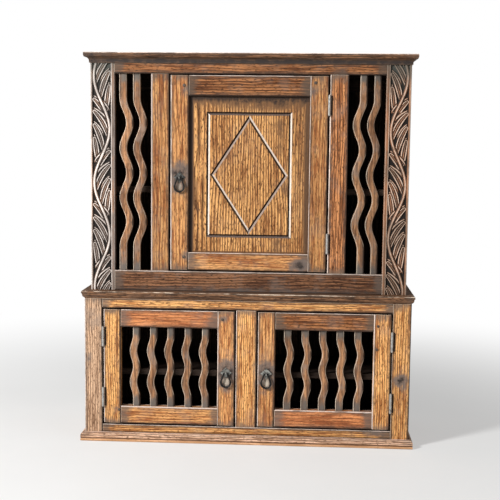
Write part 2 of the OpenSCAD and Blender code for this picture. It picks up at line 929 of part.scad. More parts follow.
// Backplate with the eye for the bar, and a shank clenched over behind the stile
module pull_plate() {
    plate_y = pull_out - pull_plate_t;
    half_w = pull_plate_w / 2;
    half_h = pull_plate_h / 2;
    corners = [[-half_w, 0], [0, half_h], [half_w, 0], [0, -half_h]];
    difference() {
        union() {
            translate([0, 0, plate_above_bar]) extrude_y(plate_y, pull_out)
                polygon([for (i = [0:3]) each notched_side(corners[i], corners[(i + 1) % 4])]);
            translate([-eye_w / 2, 0, 0]) rotate([0, 90, 0]) cylinder(h = eye_w, r = eye_r);
            block(-eye_w / 2, eye_w / 2, 0, plate_y + pull_plate_t / 2, -eye_r * 0.7, eye_r * 0.7);
            translate([0, pull_out - pull_plate_t / 2, 0]) rotate([-90, 0, 0])
                cylinder(h = frame_t + pull_plate_t / 2 + clench_t / 2, r = shank_r);
            block(-clench_l / 2, clench_l / 2, pull_out + frame_t,
                pull_out + frame_t + clench_t, -clench_h / 2, clench_h / 2);
        }
        translate([-eye_w, 0, 0]) rotate([0, 90, 0])
            cylinder(h = 2 * eye_w, r = rod_r + eye_gap);
    }
}

module shank_hole() {
    translate([0, pull_out - 1, 0]) rotate([-90, 0, 0])
        cylinder(h = frame_t + 2, r = shank_r + joint_gap);
}

module at_upper_pull() {
    translate([-upper_door_x + upper_door_stile_w / 2, upper_y - pull_out,
        (upper_door_z0 + upper_door_z1) / 2 - pull_below_mid]) children();
}

module at_base_pull() {
    translate([base_door_x0 + base_door_stile_w / 2, front_y - pull_out,
        (base_door_z0 + base_door_z1) / 2 - pull_below_mid]) children();
}

module upper_pull_ring() {
    color(iron_dark) at_upper_pull() ring();
}

module left_pull_ring() {
    color(iron_dark) on_left() at_base_pull() ring();
}

module right_pull_ring() {
    color(iron_dark) at_base_pull() ring();
}

module upper_door_pull_plate() {
    color(iron_dark) at_upper_pull() pull_plate();
}

module left_door_pull_plate() {
    color(iron_dark) on_left() at_base_pull() pull_plate();
}

module right_door_pull_plate() {
    color(iron_dark) at_base_pull() pull_plate();
}

// Upper door, hinged on its right

module upper_door_tenons(grow = 0) {
    rail_tenon(-panel_x, panel_x, upper_door_z0, panel_z0, upper_y, grow);
    rail_tenon(-panel_x, panel_x, panel_z1, upper_door_z1, upper_y, grow);
}

// Space that the panel and its grooves take
module panel_space(reach, gap) {
    block(-panel_x - reach, panel_x + reach,
        upper_y + panel_sink - gap, upper_y + panel_sink + panel_t + gap,
        panel_z0 - reach, panel_z1 + reach);
}

module upper_door_stile() {
    difference() {
        block(panel_x, upper_door_x, upper_y, upper_y + frame_t,
            upper_door_z0, upper_door_z1);
        upper_door_tenons(joint_gap);
        panel_space(panel_groove_d, joint_gap);
    }
}

module upper_door_lock_stile() {
    color(oak_honey) difference() {
        on_left() upper_door_stile();
        at_upper_pull() shank_hole();
    }
}

module upper_door_hinge_stile() {
    color(oak_brown) upper_door_stile();
}

module upper_door_rail(z0, z1) {
    difference() {
        union() {
            block(-panel_x, panel_x, upper_y, upper_y + frame_t, z0, z1);
            rail_tenon(-panel_x, panel_x, z0, z1, upper_y);
        }
        panel_space(panel_groove_d, joint_gap);
    }
}

module upper_door_top_rail() {
    color(oak_honey) upper_door_rail(panel_z1, upper_door_z1);
}

module upper_door_bottom_rail() {
    color(oak_honey) upper_door_rail(upper_door_z0, panel_z0);
}

// A loop of V-shaped lines between an inner and an outer outline of four corners
module incised_loop(inner, outer) {
    for (i = [0 : 3]) {
        j = (i + 1) % 4;
        p = (inner[i] + outer[i]) / 2;
        q = (inner[j] + outer[j]) / 2;
        d = q - p;
        intersection() {
            extrude_y(-1, line_d + 1) polygon([inner[i], inner[j], outer[j], outer[i]]);
            translate([p[0], 0, p[1]]) rotate([0, -atan2(d[1], d[0]), 0])
                extrude_x(-2 * line_w, norm(d) + 2 * line_w) polygon([
                    [-0.01, -line_w / 2], [-0.01, line_w / 2], [line_d, 0]]);
        }
    }
}

function rectangle(w, h) = [[-w, -h] / 2, [w, -h] / 2, [w, h] / 2, [-w, h] / 2];

function lozenge(w, h) = [[0, -h] / 2, [w, 0] / 2, [0, h] / 2, [-w, 0] / 2];

// The lozenge's corners move out by this share for a line of the given half width
function lozenge_share(half_line) = 1 + half_line * norm([lozenge_w, lozenge_h])
    / (lozenge_w * lozenge_h / 2);

module upper_door_panel() {
    half_line = line_w / 2;
    color(oak_honey) difference() {
        panel_space(panel_groove_d - 1, 0);
        translate([0, upper_y + panel_sink, (panel_z0 + panel_z1) / 2]) {
            incised_loop(rectangle(rect_w - line_w, rect_h - line_w),
                rectangle(rect_w + line_w, rect_h + line_w));
            incised_loop(lozenge(lozenge_w, lozenge_h) * lozenge_share(-half_line),
                lozenge(lozenge_w, lozenge_h) * lozenge_share(half_line));
        }
    }
}

// Lower doors: the right one, hinged on its right, and its mirror image

module base_door_tenons(grow = 0) {
    rail_tenon(splat_x0, splat_x1, base_door_z0, splat_z0, front_y, grow);
    rail_tenon(splat_x0, splat_x1, splat_z1, base_door_z1, front_y, grow);
}

module base_door_stile(x0, x1) {
    difference() {
        block(x0, x1, front_y, front_y + frame_t, base_door_z0, base_door_z1);
        base_door_tenons(joint_gap);
    }
}

module base_door_lock_stile() {
    difference() {
        base_door_stile(base_door_x0, splat_x0);
        at_base_pull() shank_hole();
    }
}

module base_door_hinge_stile() {
    base_door_stile(splat_x1, base_door_x1);
}

door_waves = 2;
door_splat_mid_z = (splat_z0 + splat_z1) / 2;
door_splat_y = front_y + (frame_t - door_splat_t) / 2;

module at_door_splats() {
    mid_x = (splat_x0 + splat_x1) / 2;
    for (i = [0 : door_splat_n - 1])
        translate([mid_x + (i - (door_splat_n - 1) / 2) * door_splat_pitch, 0, 0])
            children();
}

module base_door_splats() {
    at_door_splats() translate([0, 0, door_splat_mid_z])
        extrude_y(door_splat_y, door_splat_y + door_splat_t)
            mirror([1, 0]) splat_outline(splat_z1 - splat_z0 + 2 * splat_socket_d,
                door_wave_amp, door_wave_l, door_waves);
}

module base_door_rail(z0, z1) {
    reach = splat_w / 2 + joint_gap;
    difference() {
        union() {
            block(splat_x0, splat_x1, front_y, front_y + frame_t, z0, z1);
            rail_tenon(splat_x0, splat_x1, z0, z1, front_y);
        }
        at_door_splats() translate([-door_wave_amp, 0, 0])
            block(-reach, reach, door_splat_y - joint_gap,
                door_splat_y + door_splat_t + joint_gap,
                splat_z0 - splat_socket_d - joint_gap,
                splat_z1 + splat_socket_d + joint_gap);
    }
}

module left_door_lock_stile() {
    color(oak_honey) on_left() base_door_lock_stile();
}

module left_door_hinge_stile() {
    color(oak_honey) on_left() base_door_hinge_stile();
}

module left_door_top_rail() {
    color(oak_brown) on_left() base_door_rail(splat_z1, base_door_z1);
}

module left_door_bottom_rail() {
    color(oak_honey) on_left() base_door_rail(base_door_z0, splat_z0);
}

module left_door_splats() {
    color(oak_brown) on_left() base_door_splats();
}

module right_door_lock_stile() {
    color(oak_honey) base_door_lock_stile();
}

module right_door_hinge_stile() {
    color(oak_honey) base_door_hinge_stile();
}

module right_door_top_rail() {
    color(oak_brown) base_door_rail(splat_z1, base_door_z1);
}

module right_door_bottom_rail() {
    color(oak_honey) base_door_rail(base_door_z0, splat_z0);
}

module right_door_splats() {
    color(oak_brown) base_door_splats();
}

base_stile_left();
base_stile_right();
base_centre_stile();
base_top_rail();
base_bottom_rail();
base_side_left();
base_side_right();
base_bottom_board();
base_shelf();
base_shelf_bearers();
base_back_boards();
base_door_stop();
plinth_front();
plinth_returns();
waist_board();
carved_stile_left();
carved_stile_right();
inner_stile_left();
inner_stile_right();
upper_top_rail();
upper_bottom_rail();
upper_splats_left();
upper_splats_right();
upper_side_left();
upper_side_right();
upper_shelf();
upper_shelf_bearers();
upper_back_boards();
hanging_rail();
top_board();
cornice_front();
cornice_returns();
upper_door_stop();
hinge_frame_leaves();
hinge_pins();
upper_door_lock_stile();
upper_door_hinge_stile();
upper_door_top_rail();
upper_door_bottom_rail();
upper_door_panel();
upper_door_hinge_leaves();
upper_door_pull_plate();
upper_pull_ring();
left_door_lock_stile();
left_door_hinge_stile();
left_door_top_rail();
left_door_bottom_rail();
left_door_splats();
left_door_hinge_leaves();
left_door_pull_plate();
left_pull_ring();
right_door_lock_stile();
right_door_hinge_stile();
right_door_top_rail();
right_door_bottom_rail();
right_door_splats();
right_door_hinge_leaves();
right_door_pull_plate();
right_pull_ring();
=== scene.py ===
# %% [markdown]
# # An oak wall cabinet in two stages
#
# Blender adds what the solids leave out: rounded and rubbed arrises, the relief of the
# carving, pegs and nails, and finishes for oak and iron. Each cell can be run by itself
# after the ones above it, and says what it made. The noise that moves the surfaces takes
# its place from the clock unless a seed is set, so one is set first.

# %% The frame and the tools
import json
import math
from types import SimpleNamespace
import bmesh
import bpy
import numpy as np
from mathutils import Matrix, Vector, noise


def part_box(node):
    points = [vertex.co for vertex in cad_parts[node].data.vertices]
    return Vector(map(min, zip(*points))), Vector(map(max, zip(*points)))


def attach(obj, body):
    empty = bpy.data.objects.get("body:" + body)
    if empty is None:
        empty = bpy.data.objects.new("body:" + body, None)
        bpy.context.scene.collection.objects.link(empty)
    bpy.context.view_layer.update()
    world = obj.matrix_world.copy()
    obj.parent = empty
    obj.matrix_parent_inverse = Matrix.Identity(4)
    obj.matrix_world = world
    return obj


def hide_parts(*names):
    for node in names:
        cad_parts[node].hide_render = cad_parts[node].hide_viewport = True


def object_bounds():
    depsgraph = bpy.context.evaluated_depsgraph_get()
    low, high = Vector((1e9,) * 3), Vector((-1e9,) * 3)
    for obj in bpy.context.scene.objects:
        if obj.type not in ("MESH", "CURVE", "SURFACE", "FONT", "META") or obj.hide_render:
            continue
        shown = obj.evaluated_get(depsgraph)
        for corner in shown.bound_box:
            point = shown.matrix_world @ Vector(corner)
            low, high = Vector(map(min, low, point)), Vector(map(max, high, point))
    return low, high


DRIFT_SEED = 5
noise.seed_set(DRIFT_SEED)
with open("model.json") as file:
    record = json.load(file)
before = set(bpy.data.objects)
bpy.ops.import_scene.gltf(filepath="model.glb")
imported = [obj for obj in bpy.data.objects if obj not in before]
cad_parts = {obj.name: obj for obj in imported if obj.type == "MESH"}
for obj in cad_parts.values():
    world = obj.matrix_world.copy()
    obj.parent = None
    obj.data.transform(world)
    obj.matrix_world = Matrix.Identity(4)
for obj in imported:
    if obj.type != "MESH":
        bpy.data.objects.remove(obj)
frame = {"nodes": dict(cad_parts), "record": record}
cad_low, cad_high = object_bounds()
MM = 0.001
print("nodes", len(frame["nodes"]), "size", [round(s, 3) for s in cad_high - cad_low])

# %% [markdown]
# ## The camera
#
# The picture was taken from a little right of the middle, at the height of the upper
# door's pull, looking slightly down. The place in metres and the angles in degrees come
# from a least squares fit of the cabinet's upright and level edges. A camera looks along
# its own -Z, so a quarter turn about X comes first, which makes it look along +Y, at the
# wall.

# %% Camera
EYE = Vector((0.1394, -2.5244, 0.7223))
TURN, TILT, LEAN = 3.181, -6.066, -0.637
LENS_MM, SENSOR_MM = 73.9, 36
camera = bpy.data.objects.new("camera", bpy.data.cameras.new("camera"))
bpy.context.scene.collection.objects.link(camera)
camera.data.sensor_width = SENSOR_MM
camera.data.lens = LENS_MM
camera.data.clip_end = 60
camera.matrix_world = (
    Matrix.Translation(EYE)
    @ Matrix.Rotation(math.radians(TURN), 4, "Z")
    @ Matrix.Rotation(math.radians(TILT), 4, "X")
    @ Matrix.Rotation(math.radians(LEAN), 4, "Y")
    @ Matrix.Rotation(math.radians(90), 4, "X")
)
bpy.context.scene.camera = camera
bpy.context.scene.view_settings.view_transform = "Standard"
print("camera at", tuple(EYE), "lens", camera.data.lens)

# %% [markdown]
# ## Writing shader maths as Python
#
# A node tree is hard to read as a list of nodes and links. A small class that wraps a
# socket lets sums be written as sums: 1 - mask * 0.5 adds the two Math nodes by itself. The
# reflected forms, such as __rsub__, are what Python calls when the number stands first.
# Colours don't go through Math nodes, which would turn them grey, but through Mix.

# %% A socket that takes part in sums
class Wire:
    """A value inside a finish, which sums and products can use like a number."""

    def __init__(self, paint, socket):
        self.paint = paint
        self.socket = socket

    def maths(self, operation, *values, clamp=False):
        sockets = dict(enumerate(values))
        settings = {"operation": operation, "use_clamp": clamp}
        return self.paint.node("ShaderNodeMath", settings, sockets)

    def __add__(self, other):
        return self.maths("ADD", self, other)

    def __sub__(self, other):
        return self.maths("SUBTRACT", self, other)

    def __rsub__(self, other):
        return self.maths("SUBTRACT", other, self)

    def __mul__(self, other):
        return self.maths("MULTIPLY", self, other)

    def __pow__(self, other):
        return self.maths("POWER", self, other)

    __radd__ = __add__
    __rmul__ = __mul__

    def least(self, other):
        return self.maths("MINIMUM", self, other)

    def most(self, other):
        return self.maths("MAXIMUM", self, other)

    def fract(self):
        return self.maths("FRACT", self)

    def clamp(self):
        return self.maths("ADD", self, 0.0, clamp=True)

    def rise(self, start, end):
        """0 below start, 1 above end, and smooth between them; start may be the larger."""
        settings = {"interpolation_type": "SMOOTHSTEP"}
        return self.paint.node("ShaderNodeMapRange", settings, {0: self, 1: start, 2: end})


# %% [markdown]
# ## One method for every other node
#
# Paint starts a material and gives every node through one method: the node's type, its
# settings, and the values or links of its sockets. Settings are set first, because some of
# them, such as a Mix node's data type, decide which sockets there are.

# %% A material under construction
class Paint:
    """A new material. node() adds nodes, and the other methods name common ones."""

    def __init__(self, name):
        self.material = bpy.data.materials.new(name)
        self.material.use_nodes = True
        self.tree = self.material.node_tree
        self.shader = self.tree.nodes["Principled BSDF"]

    def node(self, kind, settings=None, sockets=None, out=0):
        made = self.tree.nodes.new(kind)
        for key, value in (settings or {}).items():
            setattr(made, key, value)
        for key, value in (sockets or {}).items():
            self.plug(made.inputs[key], value)
        return Wire(self, made.outputs[out])

    def plug(self, socket, value):
        if isinstance(value, Wire):
            self.tree.links.new(value.socket, socket)
        elif isinstance(value, tuple) and len(value) == 3 and socket.type == "RGBA":
            socket.default_value = (*value, 1.0)
        else:
            socket.default_value = value

    def read(self, name, out="Fac"):
        """A number or a vector that the mesh carries under this name."""
        return self.node("ShaderNodeAttribute", {"attribute_name": name}, out=out)

    def split(self, vector):
        parts = self.node("ShaderNodeSeparateXYZ", None, {0: vector})
        return [Wire(self, s) for s in parts.socket.node.outputs]

    def join(self, x, y, z):
        return self.node("ShaderNodeCombineXYZ", None, {0: x, 1: y, 2: z})

    def noise(self, vector, scale, detail=2.0, rough=0.5):
        sockets = {"Vector": vector, "Scale": scale, "Detail": detail, "Roughness": rough}
        return self.node("ShaderNodeTexNoise", None, sockets)

    def drawn_out(self, grain, squeeze, scale, detail=2.0, rough=0.5):
        """Noise in streaks along the grain: the smaller squeeze is, the longer they are."""
        across, depth, along = grain
        return self.noise(self.join(across, depth, along * squeeze), scale, detail, rough)

    def mix(self, a, b, share):
        settings = {"data_type": "RGBA", "clamp_factor": True}
        return self.node("ShaderNodeMix", settings, {0: share, 6: a, 7: b}, out=2)

    def coats(self, colour, *layers):
        """Lays tints over a colour in turn. Each layer is a tint and its share."""
        for tint, share in layers:
            colour = self.mix(colour, tint, share)
        return colour

    def bump(self, height, strength, distance):
        sockets = {"Strength": strength, "Distance": distance, "Height": height}
        return self.node("ShaderNodeBump", None, sockets)

    def finish(self, colour, rough, normal=None, **plain):
        """Feeds the shader. plain holds numbers for its other sockets, by their names."""
        sockets = {"Base Color": colour, "Roughness": rough}
        if normal:
            sockets["Normal"] = normal
        for key, value in plain.items():
            sockets[key.replace("_", " ")] = value
        for key, value in sockets.items():
            self.plug(self.shader.inputs[key], value)
        return self.material


# %% [markdown]
# ## Floor, background and light
#
# A plain pale floor takes the cabinet's shadow and fades to plain white further out, so no
# horizon line shows. Is Camera Ray does the fading, which adds no light to the cabinet. Is
# Glossy Ray is added to it, so that metal mirrors the same white.
#
# In the picture the light comes from the upper left. The left arrises are bright, and the
# door frame throws a dark band on the panel's left edge. One lamp there, as wide as a small
# window, gives such soft-edged shadows. A broad weak lamp on the other side and an even
# pale world lift them.

# %% Stage
FLOOR_RADIUS = 7.0
FLOOR_DROP = 0.0004
FADE_STARTS, FADE_ENDS = 0.5, 1.9


def white_where_seen(paint, surface, share):
    """Mixes the surface towards plain white for the rays that look at it."""
    path = paint.node("ShaderNodeLightPath").socket.node.outputs
    camera_ray = Wire(paint, path["Is Camera Ray"])
    glossy_ray = Wire(paint, path["Is Glossy Ray"])
    seen = camera_ray.most(glossy_ray)
    white = paint.node("ShaderNodeEmission", None, {0: (1, 1, 1), 1: 1.0})
    both = paint.node("ShaderNodeMixShader", None, {0: seen * share, 1: surface, 2: white})
    paint.tree.links.new(both.socket, paint.tree.nodes["Material Output"].inputs[0])


floor_mesh = bpy.data.meshes.new("floor")
shape = bmesh.new()
bmesh.ops.create_circle(shape, cap_ends=True, segments=64, radius=FLOOR_RADIUS)
shape.to_mesh(floor_mesh)
shape.free()
floor = bpy.data.objects.new("floor", floor_mesh)
floor.location = (0, 0, -FLOOR_DROP)
bpy.context.scene.collection.objects.link(floor)
paint = Paint("pale_floor")
place = paint.node("ShaderNodeTexCoord", out="Object")
x, y, _ = paint.split(place)
faded = ((x * x + y * y) ** 0.5).rise(FADE_STARTS, FADE_ENDS)
mottle = paint.noise(place, 3.5, 4.0)
paint.finish(paint.mix((0.70, 0.70, 0.69), (0.80, 0.80, 0.79), mottle), 0.75)
white_where_seen(paint, Wire(paint, paint.shader.outputs[0]), faded * 0.6 + 0.4)
floor_mesh.materials.append(paint.material)
print("floor", tuple(floor.dimensions))

# %% World
SKY_COLOUR, SKY_STRENGTH = (1.0, 0.985, 0.96, 1), 0.24
SEEN_COLOUR, SEEN_STRENGTH = (1, 1, 1, 1), 1.0
world = bpy.data.worlds.new("studio")
bpy.context.scene.world = world
world.use_nodes = True
sky = world.node_tree
pale = sky.nodes["Background"]
white = sky.nodes.new("ShaderNodeBackground")
for background, colour, strength in (
    (pale, SKY_COLOUR, SKY_STRENGTH), (white, SEEN_COLOUR, SEEN_STRENGTH)
):
    background.inputs[0].default_value = colour
    background.inputs[1].default_value = strength
rays = sky.nodes.new("ShaderNodeLightPath")
either = sky.nodes.new("ShaderNodeMath")
either.operation = "MAXIMUM"
both = sky.nodes.new("ShaderNodeMixShader")
for out, into in (
    (rays.outputs["Is Camera Ray"], either.inputs[0]),
    (rays.outputs["Is Transmission Ray"], either.inputs[1]),
    (either.outputs[0], both.inputs[0]),
    (pale.outputs[0], both.inputs[1]),
    (white.outputs[0], both.inputs[2]),
    (both.outputs[0], sky.nodes["World Output"].inputs[0]),
):
    sky.links.new(out, into)
print("world", world.name, "with strength", SKY_STRENGTH)

# %% Lamps
LIT_POINT = Vector((0, -0.1, 0.5))


def lamp(name, towards, distance, size, power):
    """An area lamp that shines on the cabinet's middle from a direction."""
    made = bpy.data.objects.new(name, bpy.data.lights.new(name, "AREA"))
    made.data.shape = "DISK"
    made.data.size = size
    made.data.energy = power
    direction = Vector(towards).normalized()
    made.location = LIT_POINT + direction * distance
    made.rotation_euler = direction.to_track_quat("Z", "Y").to_euler()
    bpy.context.scene.collection.objects.link(made)


lamp("window", (-0.65, -0.62, 0.44), 3.4, 0.6, 148)
lamp("room", (0.9, -0.65, 1.1), 4.5, 2.6, 20)

# %% [markdown]
# ## How oak looks, and how the finish reads it
#
# A board shows the tree's growth rings where the saw crossed them. If the heart of the
# tree lay straight behind the face, the rings draw wide arches; if it lay far to one side,
# they draw straight stripes. So every board carries its own piece of the tree, as a vector
# called grain: how far each point is from the heart, across and deep, and how far up the
# trunk. The finish works out the distance from the heart and draws a ring every few
# millimetres. It needs no picture, it goes round corners as real grain does, and turning a
# board turns its grain.
#
# Two more vectors, near and far, say how far a point is from the board's two ends and
# edges, where handling and damp have darkened it. The noise that several layers share is
# made once, and drawn out along the grain.

# %% What a board tells its finish
def board_fields(p):
    """What the mesh carries at each point, and the noise that the layers share."""
    wood = SimpleNamespace()
    wood.grain = p.read("grain", "Vector")
    wood.parts = p.split(wood.grain)
    wood.near = p.split(p.read("near", "Vector"))
    wood.far = p.split(p.read("far", "Vector"))
    wood.side = wood.near[1].least(wood.far[1])
    wood.edge = wood.near[0].least(wood.far[0]).most(wood.side)
    wood.streak = p.drawn_out(wood.parts, 0.045, 130, 3.0, 0.6)
    wood.fibre = p.drawn_out(wood.parts, 0.055, 430, 3.0, 0.65)
    wood.pores = p.drawn_out(wood.parts, 0.08, 900, 2.0, 0.6).rise(0.55, 0.68)
    wood.spots = p.noise(wood.grain, 60, 4.0, 0.6)
    wood.patches = p.noise(wood.grain, 19, 3.0, 0.6)
    return wood


def ringed(p, wood, look):
    """Clean oak: streaks, a broken dark line at each growth ring, dashes and pores."""
    across, depth, _ = wood.parts
    heart = (across * across + depth * depth) ** 0.5
    wander = p.drawn_out(wood.parts, 0.3, 11)
    ripple = p.drawn_out(wood.parts, 0.09, 70, 3.0)
    rings = (heart * (1 / MM / look.ring) + wander * 5.0 + ripple * 0.9).fract()
    early = rings.rise(0.0, 0.10) * rings.rise(0.62, 0.14)
    broken = p.drawn_out(wood.parts, 0.035, 160).rise(0.26, 0.44)
    wood.line = (early * broken * look.lines).clamp()
    cloud = p.drawn_out(wood.parts, 0.4, 17, 3.0, 0.55)
    light = (wood.streak - 0.5) * 3.0 + (wood.fibre - 0.5) * 5.2 + (cloud - 0.5) * 2.2
    dash = (wood.streak * 0.6 + wood.fibre * 0.6).rise(0.66, 0.76)
    fleck = p.drawn_out(wood.parts, 0.26, 400, 1.0).rise(0.57, 0.66)
    clean = p.mix(look.pale, look.deep, (light * look.streaks + look.figure).clamp())
    shares = (wood.line * 0.9, dash * 0.6 * look.lines, wood.pores * 0.5,
        fleck * 0.85 * look.lines)
    return p.coats(clean, *((look.vein, share) for share in shares))


print("growth rings and streaks are ready")

# %% [markdown]
# ## Damp, wax, dirt and painted shade
#
# Old oak silvers in patches. Its ends have drunk damp, wax stays along its edges, and hands
# have left dirt, which the mesh carries together with the smears' painted shade. The
# panel's edges, which the frame keeps from the window's light, get dark bands of painted
# shadow. tongue is how much of the panel's edge lies hidden in the frame, so the bands are
# measured from where it shows.

# %% Dirt and painted shade
SILVERED = (0.26, 0.20, 0.165)
WAXED_MARGIN = (0.14, 0.095, 0.07)
WAXED_EDGE = (0.04, 0.026, 0.019)
BLACK_DIRT_AND_SHADE = (0.03, 0.024, 0.022)


def frame_shade(wood, tongue):
    """The painted shadow bands that the frame throws along a panel's four edges."""
    ragged = (wood.streak - 0.5) * 0.022
    left = (wood.near[0] - tongue).rise(0.014, 0.006) * 0.95
    top = (wood.far[2] - tongue + ragged).rise(0.023, 0.003) * 0.9
    right = (wood.far[0] - tongue + ragged * 0.5).rise(0.017, 0.006) * 0.72
    foot = (wood.near[2] - tongue).rise(0.005, 0.001) * 0.6
    return left.most(top).most(right).most(foot)


def soiled_and_shaded(p, wood, look, colour):
    """Silvered patches, damp ends, waxed margins and edges, dirt, and painted shade."""
    spots, patches = wood.spots, wood.patches
    wood.silver = patches.rise(0.50, 0.68) * look.grey
    end = wood.far[2] if look.tongue else wood.near[2].least(wood.far[2])
    ended = (end - spots * 0.034 + 0.008 + (wood.streak - 0.5) * 0.035).rise(0.020, 0.0)
    margin = (wood.edge - spots * 0.010 + 0.001).rise(0.007, 0.001)
    margin = margin * (1 - patches.rise(0.40, 0.62))
    edged = (wood.edge - spots * 0.008 + 0.002).rise(0.0035, 0.0)
    # dark holds dirt and painted shade: the mesh's smears and the panel's painted shadow
    # bands
    wood.dark = (p.read("soil_and_shade") * (spots * 2.6 - 0.3)).clamp()
    if look.tongue:
        wood.dark = wood.dark.most(frame_shade(wood, look.tongue))
    return p.coats(colour, (SILVERED, wood.silver * 0.8),
        (look.damp, ended * 0.95 * look.dirt), (WAXED_MARGIN, margin * 0.5 * look.dirt),
        (WAXED_EDGE, edged * 0.9 * look.dirt),
        (look.grime, wood.dark.rise(0.03, 0.5) * 0.9),
        (BLACK_DIRT_AND_SHADE, wood.dark.rise(0.45, 1.0) * 0.93))


print("dirt tints", SILVERED, WAXED_MARGIN, WAXED_EDGE, BLACK_DIRT_AND_SHADE)

# %% [markdown]
# ## Rubbed arrises, painted highlights and shade, and marks
#
# rub is 1 where an arris has been rubbed bare; along a moulding's crown it also carries a
# pale line that is partly rubbed and partly a painted highlight. lit is the distance from
# the arris that faces the window, which is painted as a thin bright line, a painted
# highlight. lee is the distance from the opposite one, which is painted as a dark line of
# shade. Three marks come last: a line scored along the plinth, whose notch gets a dark line
# of painted shade, a paler place that a ring has polished, and wall, which says how light
# each wall of a cut line or a door's gap is painted.

# %% Wear, marks and painted light
PAINTED_LEE_SHADE = (0.025, 0.017, 0.014)
BARE_AND_LIT_ARRIS = (0.70, 0.57, 0.44)
PAINTED_ARRIS_HIGHLIGHT = (0.70, 0.56, 0.48)
BELOW_SCORE = (0.80, 0.42, 0.19)
POLISHED = (0.62, 0.54, 0.44)
SHADED_WALL, HALF_LIT_WALL_PAINT = (0.12, 0.09, 0.08), (0.36, 0.27, 0.22)
LIT_WALL_PAINT, SHADE_BLACK_WALL_PAINT = (0.82, 0.71, 0.60), (0.015, 0.011, 0.01)


def rub_and_painted_light(p, wood, look, colour):
    """Painted shade on lee arrises, bare arrises, and painted highlights on lit ones."""
    # lee is painted shade and lit a painted highlight, both set by the window's side
    lee = (p.read("lee").most(wood.side) - wood.spots * 0.001).rise(0.0022, 0.0008)
    worn = (p.read("rub") * (wood.spots * 1.3 + 0.2)).rise(0.38, 0.72)
    wood.worn = worn * (1 - lee) * look.rubbed
    lit = (p.read("lit").most(wood.side) - wood.spots * 0.0024).rise(0.0028, 0.0010)
    lit = lit * (wood.patches.rise(0.36, 0.5) * 0.6 + 0.4) * look.rubbed * 1.5
    return p.coats(colour, (PAINTED_LEE_SHADE, lee * 0.8 * look.dirt),
        (BARE_AND_LIT_ARRIS, wood.worn * 0.85), (PAINTED_ARRIS_HIGHLIGHT, lit.clamp()))


def ring_polish(p, wood):
    """1 in the middle of the place that a ring has polished, with a ragged edge."""
    x, y, z = p.split(p.read("from_ring", "Vector"))
    away = (x * x + y * y * 0.7 + z * z * 0.55) * (1 / MM ** 2)
    away = away + (wood.spots - 0.5) * 130 + (wood.streak - 0.5) * 110
    return away.rise(125, 10) * ((wood.fibre - 0.5) * 3.0 + 0.9).clamp()


def marked_and_painted(p, wood, look, colour):
    """Scored line and its painted shade, ring polish, and painted light and shade on walls.
    """
    spots, wall = wood.spots, p.read("wall")
    # The dark line along the plinth's notch is painted shade
    if look.scored:
        below = (wood.far[0] - look.scored - (wood.streak - 0.5) * 0.002) * (1 / MM)
        colour = p.coats(colour, (BELOW_SCORE, below.rise(0.5, 2.0) * 0.45),
            (look.vein, (below * below).rise(4.0, 0.6) * 0.85))
    # The wall tints are painted light and shade: pale where a wall faces the window, black
    # away
    return p.coats(colour, (POLISHED, ring_polish(p, wood) * 0.85),
        (SHADED_WALL, wall.rise(0.1, 0.3) * (spots * 0.4 + 0.75)),
        (HALF_LIT_WALL_PAINT, wall.rise(0.4, 0.55) * (spots * 0.6 + 0.6)),
        (LIT_WALL_PAINT, wall.rise(0.6, 1.0) * (spots * 1.2 + 0.25)),
        (SHADE_BLACK_WALL_PAINT, wall.rise(-0.2, -0.8) * 0.95))


print("wear tints", BARE_AND_LIT_ARRIS, PAINTED_ARRIS_HIGHLIGHT, POLISHED)

# %% [markdown]
# ## The oak finishes
#
# Each finish has a pale and a deep wood colour and a vein, and says where it differs from
# plain oak. ring is the width of a growth ring in millimetres, lines how strong its dark
# lines are and streaks how strong its streaks. grey, rubbed, dirt and gloss are how much
# it has silvered, worn and soiled, and how dull it is. rubbed also sets how strong the
# painted highlight on the lit arrises is, and dirt how dark the painted shade line on the
# others is. damp colours the ends, and grime colours the smears, with their painted shade,
# and the panel's painted shadow bands. tongue and scored are lengths in metres.

# %% Oak
PLAIN_OAK = {"ring": 5.5, "lines": 0.6, "streaks": 1.0, "figure": 0.42, "grey": 0.3,
    "rubbed": 0.6, "dirt": 0.8, "gloss": 0.6, "damp": (0.135, 0.10, 0.08),
    "grime": (0.16, 0.125, 0.108), "tongue": None, "scored": None}


def oak(name, pale, deep, vein, **differs):
    """Old waxed oak: the clean wood first, then its dirt, wear and marks, with painted
    light and shade.
    """
    p = Paint(name)
    wood = board_fields(p)
    look = SimpleNamespace(pale=pale, deep=deep, vein=vein, **{**PLAIN_OAK, **differs})
    colour = ringed(p, wood, look)
    colour = soiled_and_shaded(p, wood, look, colour)
    colour = rub_and_painted_light(p, wood, look, colour)
    colour = marked_and_painted(p, wood, look, colour)
    shade = p.node("ShaderNodeHueSaturation", None,
        {"Value": p.read("tone") + 1.0, "Color": colour})
    rough = wood.silver * 0.25 + wood.dark * 0.12 + wood.pores * 0.15 - wood.worn * 0.06
    height = wood.streak * 0.5 + wood.fibre * 0.4 - wood.line * 0.5 - wood.pores * 0.5
    bump = p.bump(height + wood.spots * 0.35, 0.6, 0.0007)
    return p.finish(shade, (rough + look.gloss).clamp(), bump, Specular_IOR_Level=0.12)


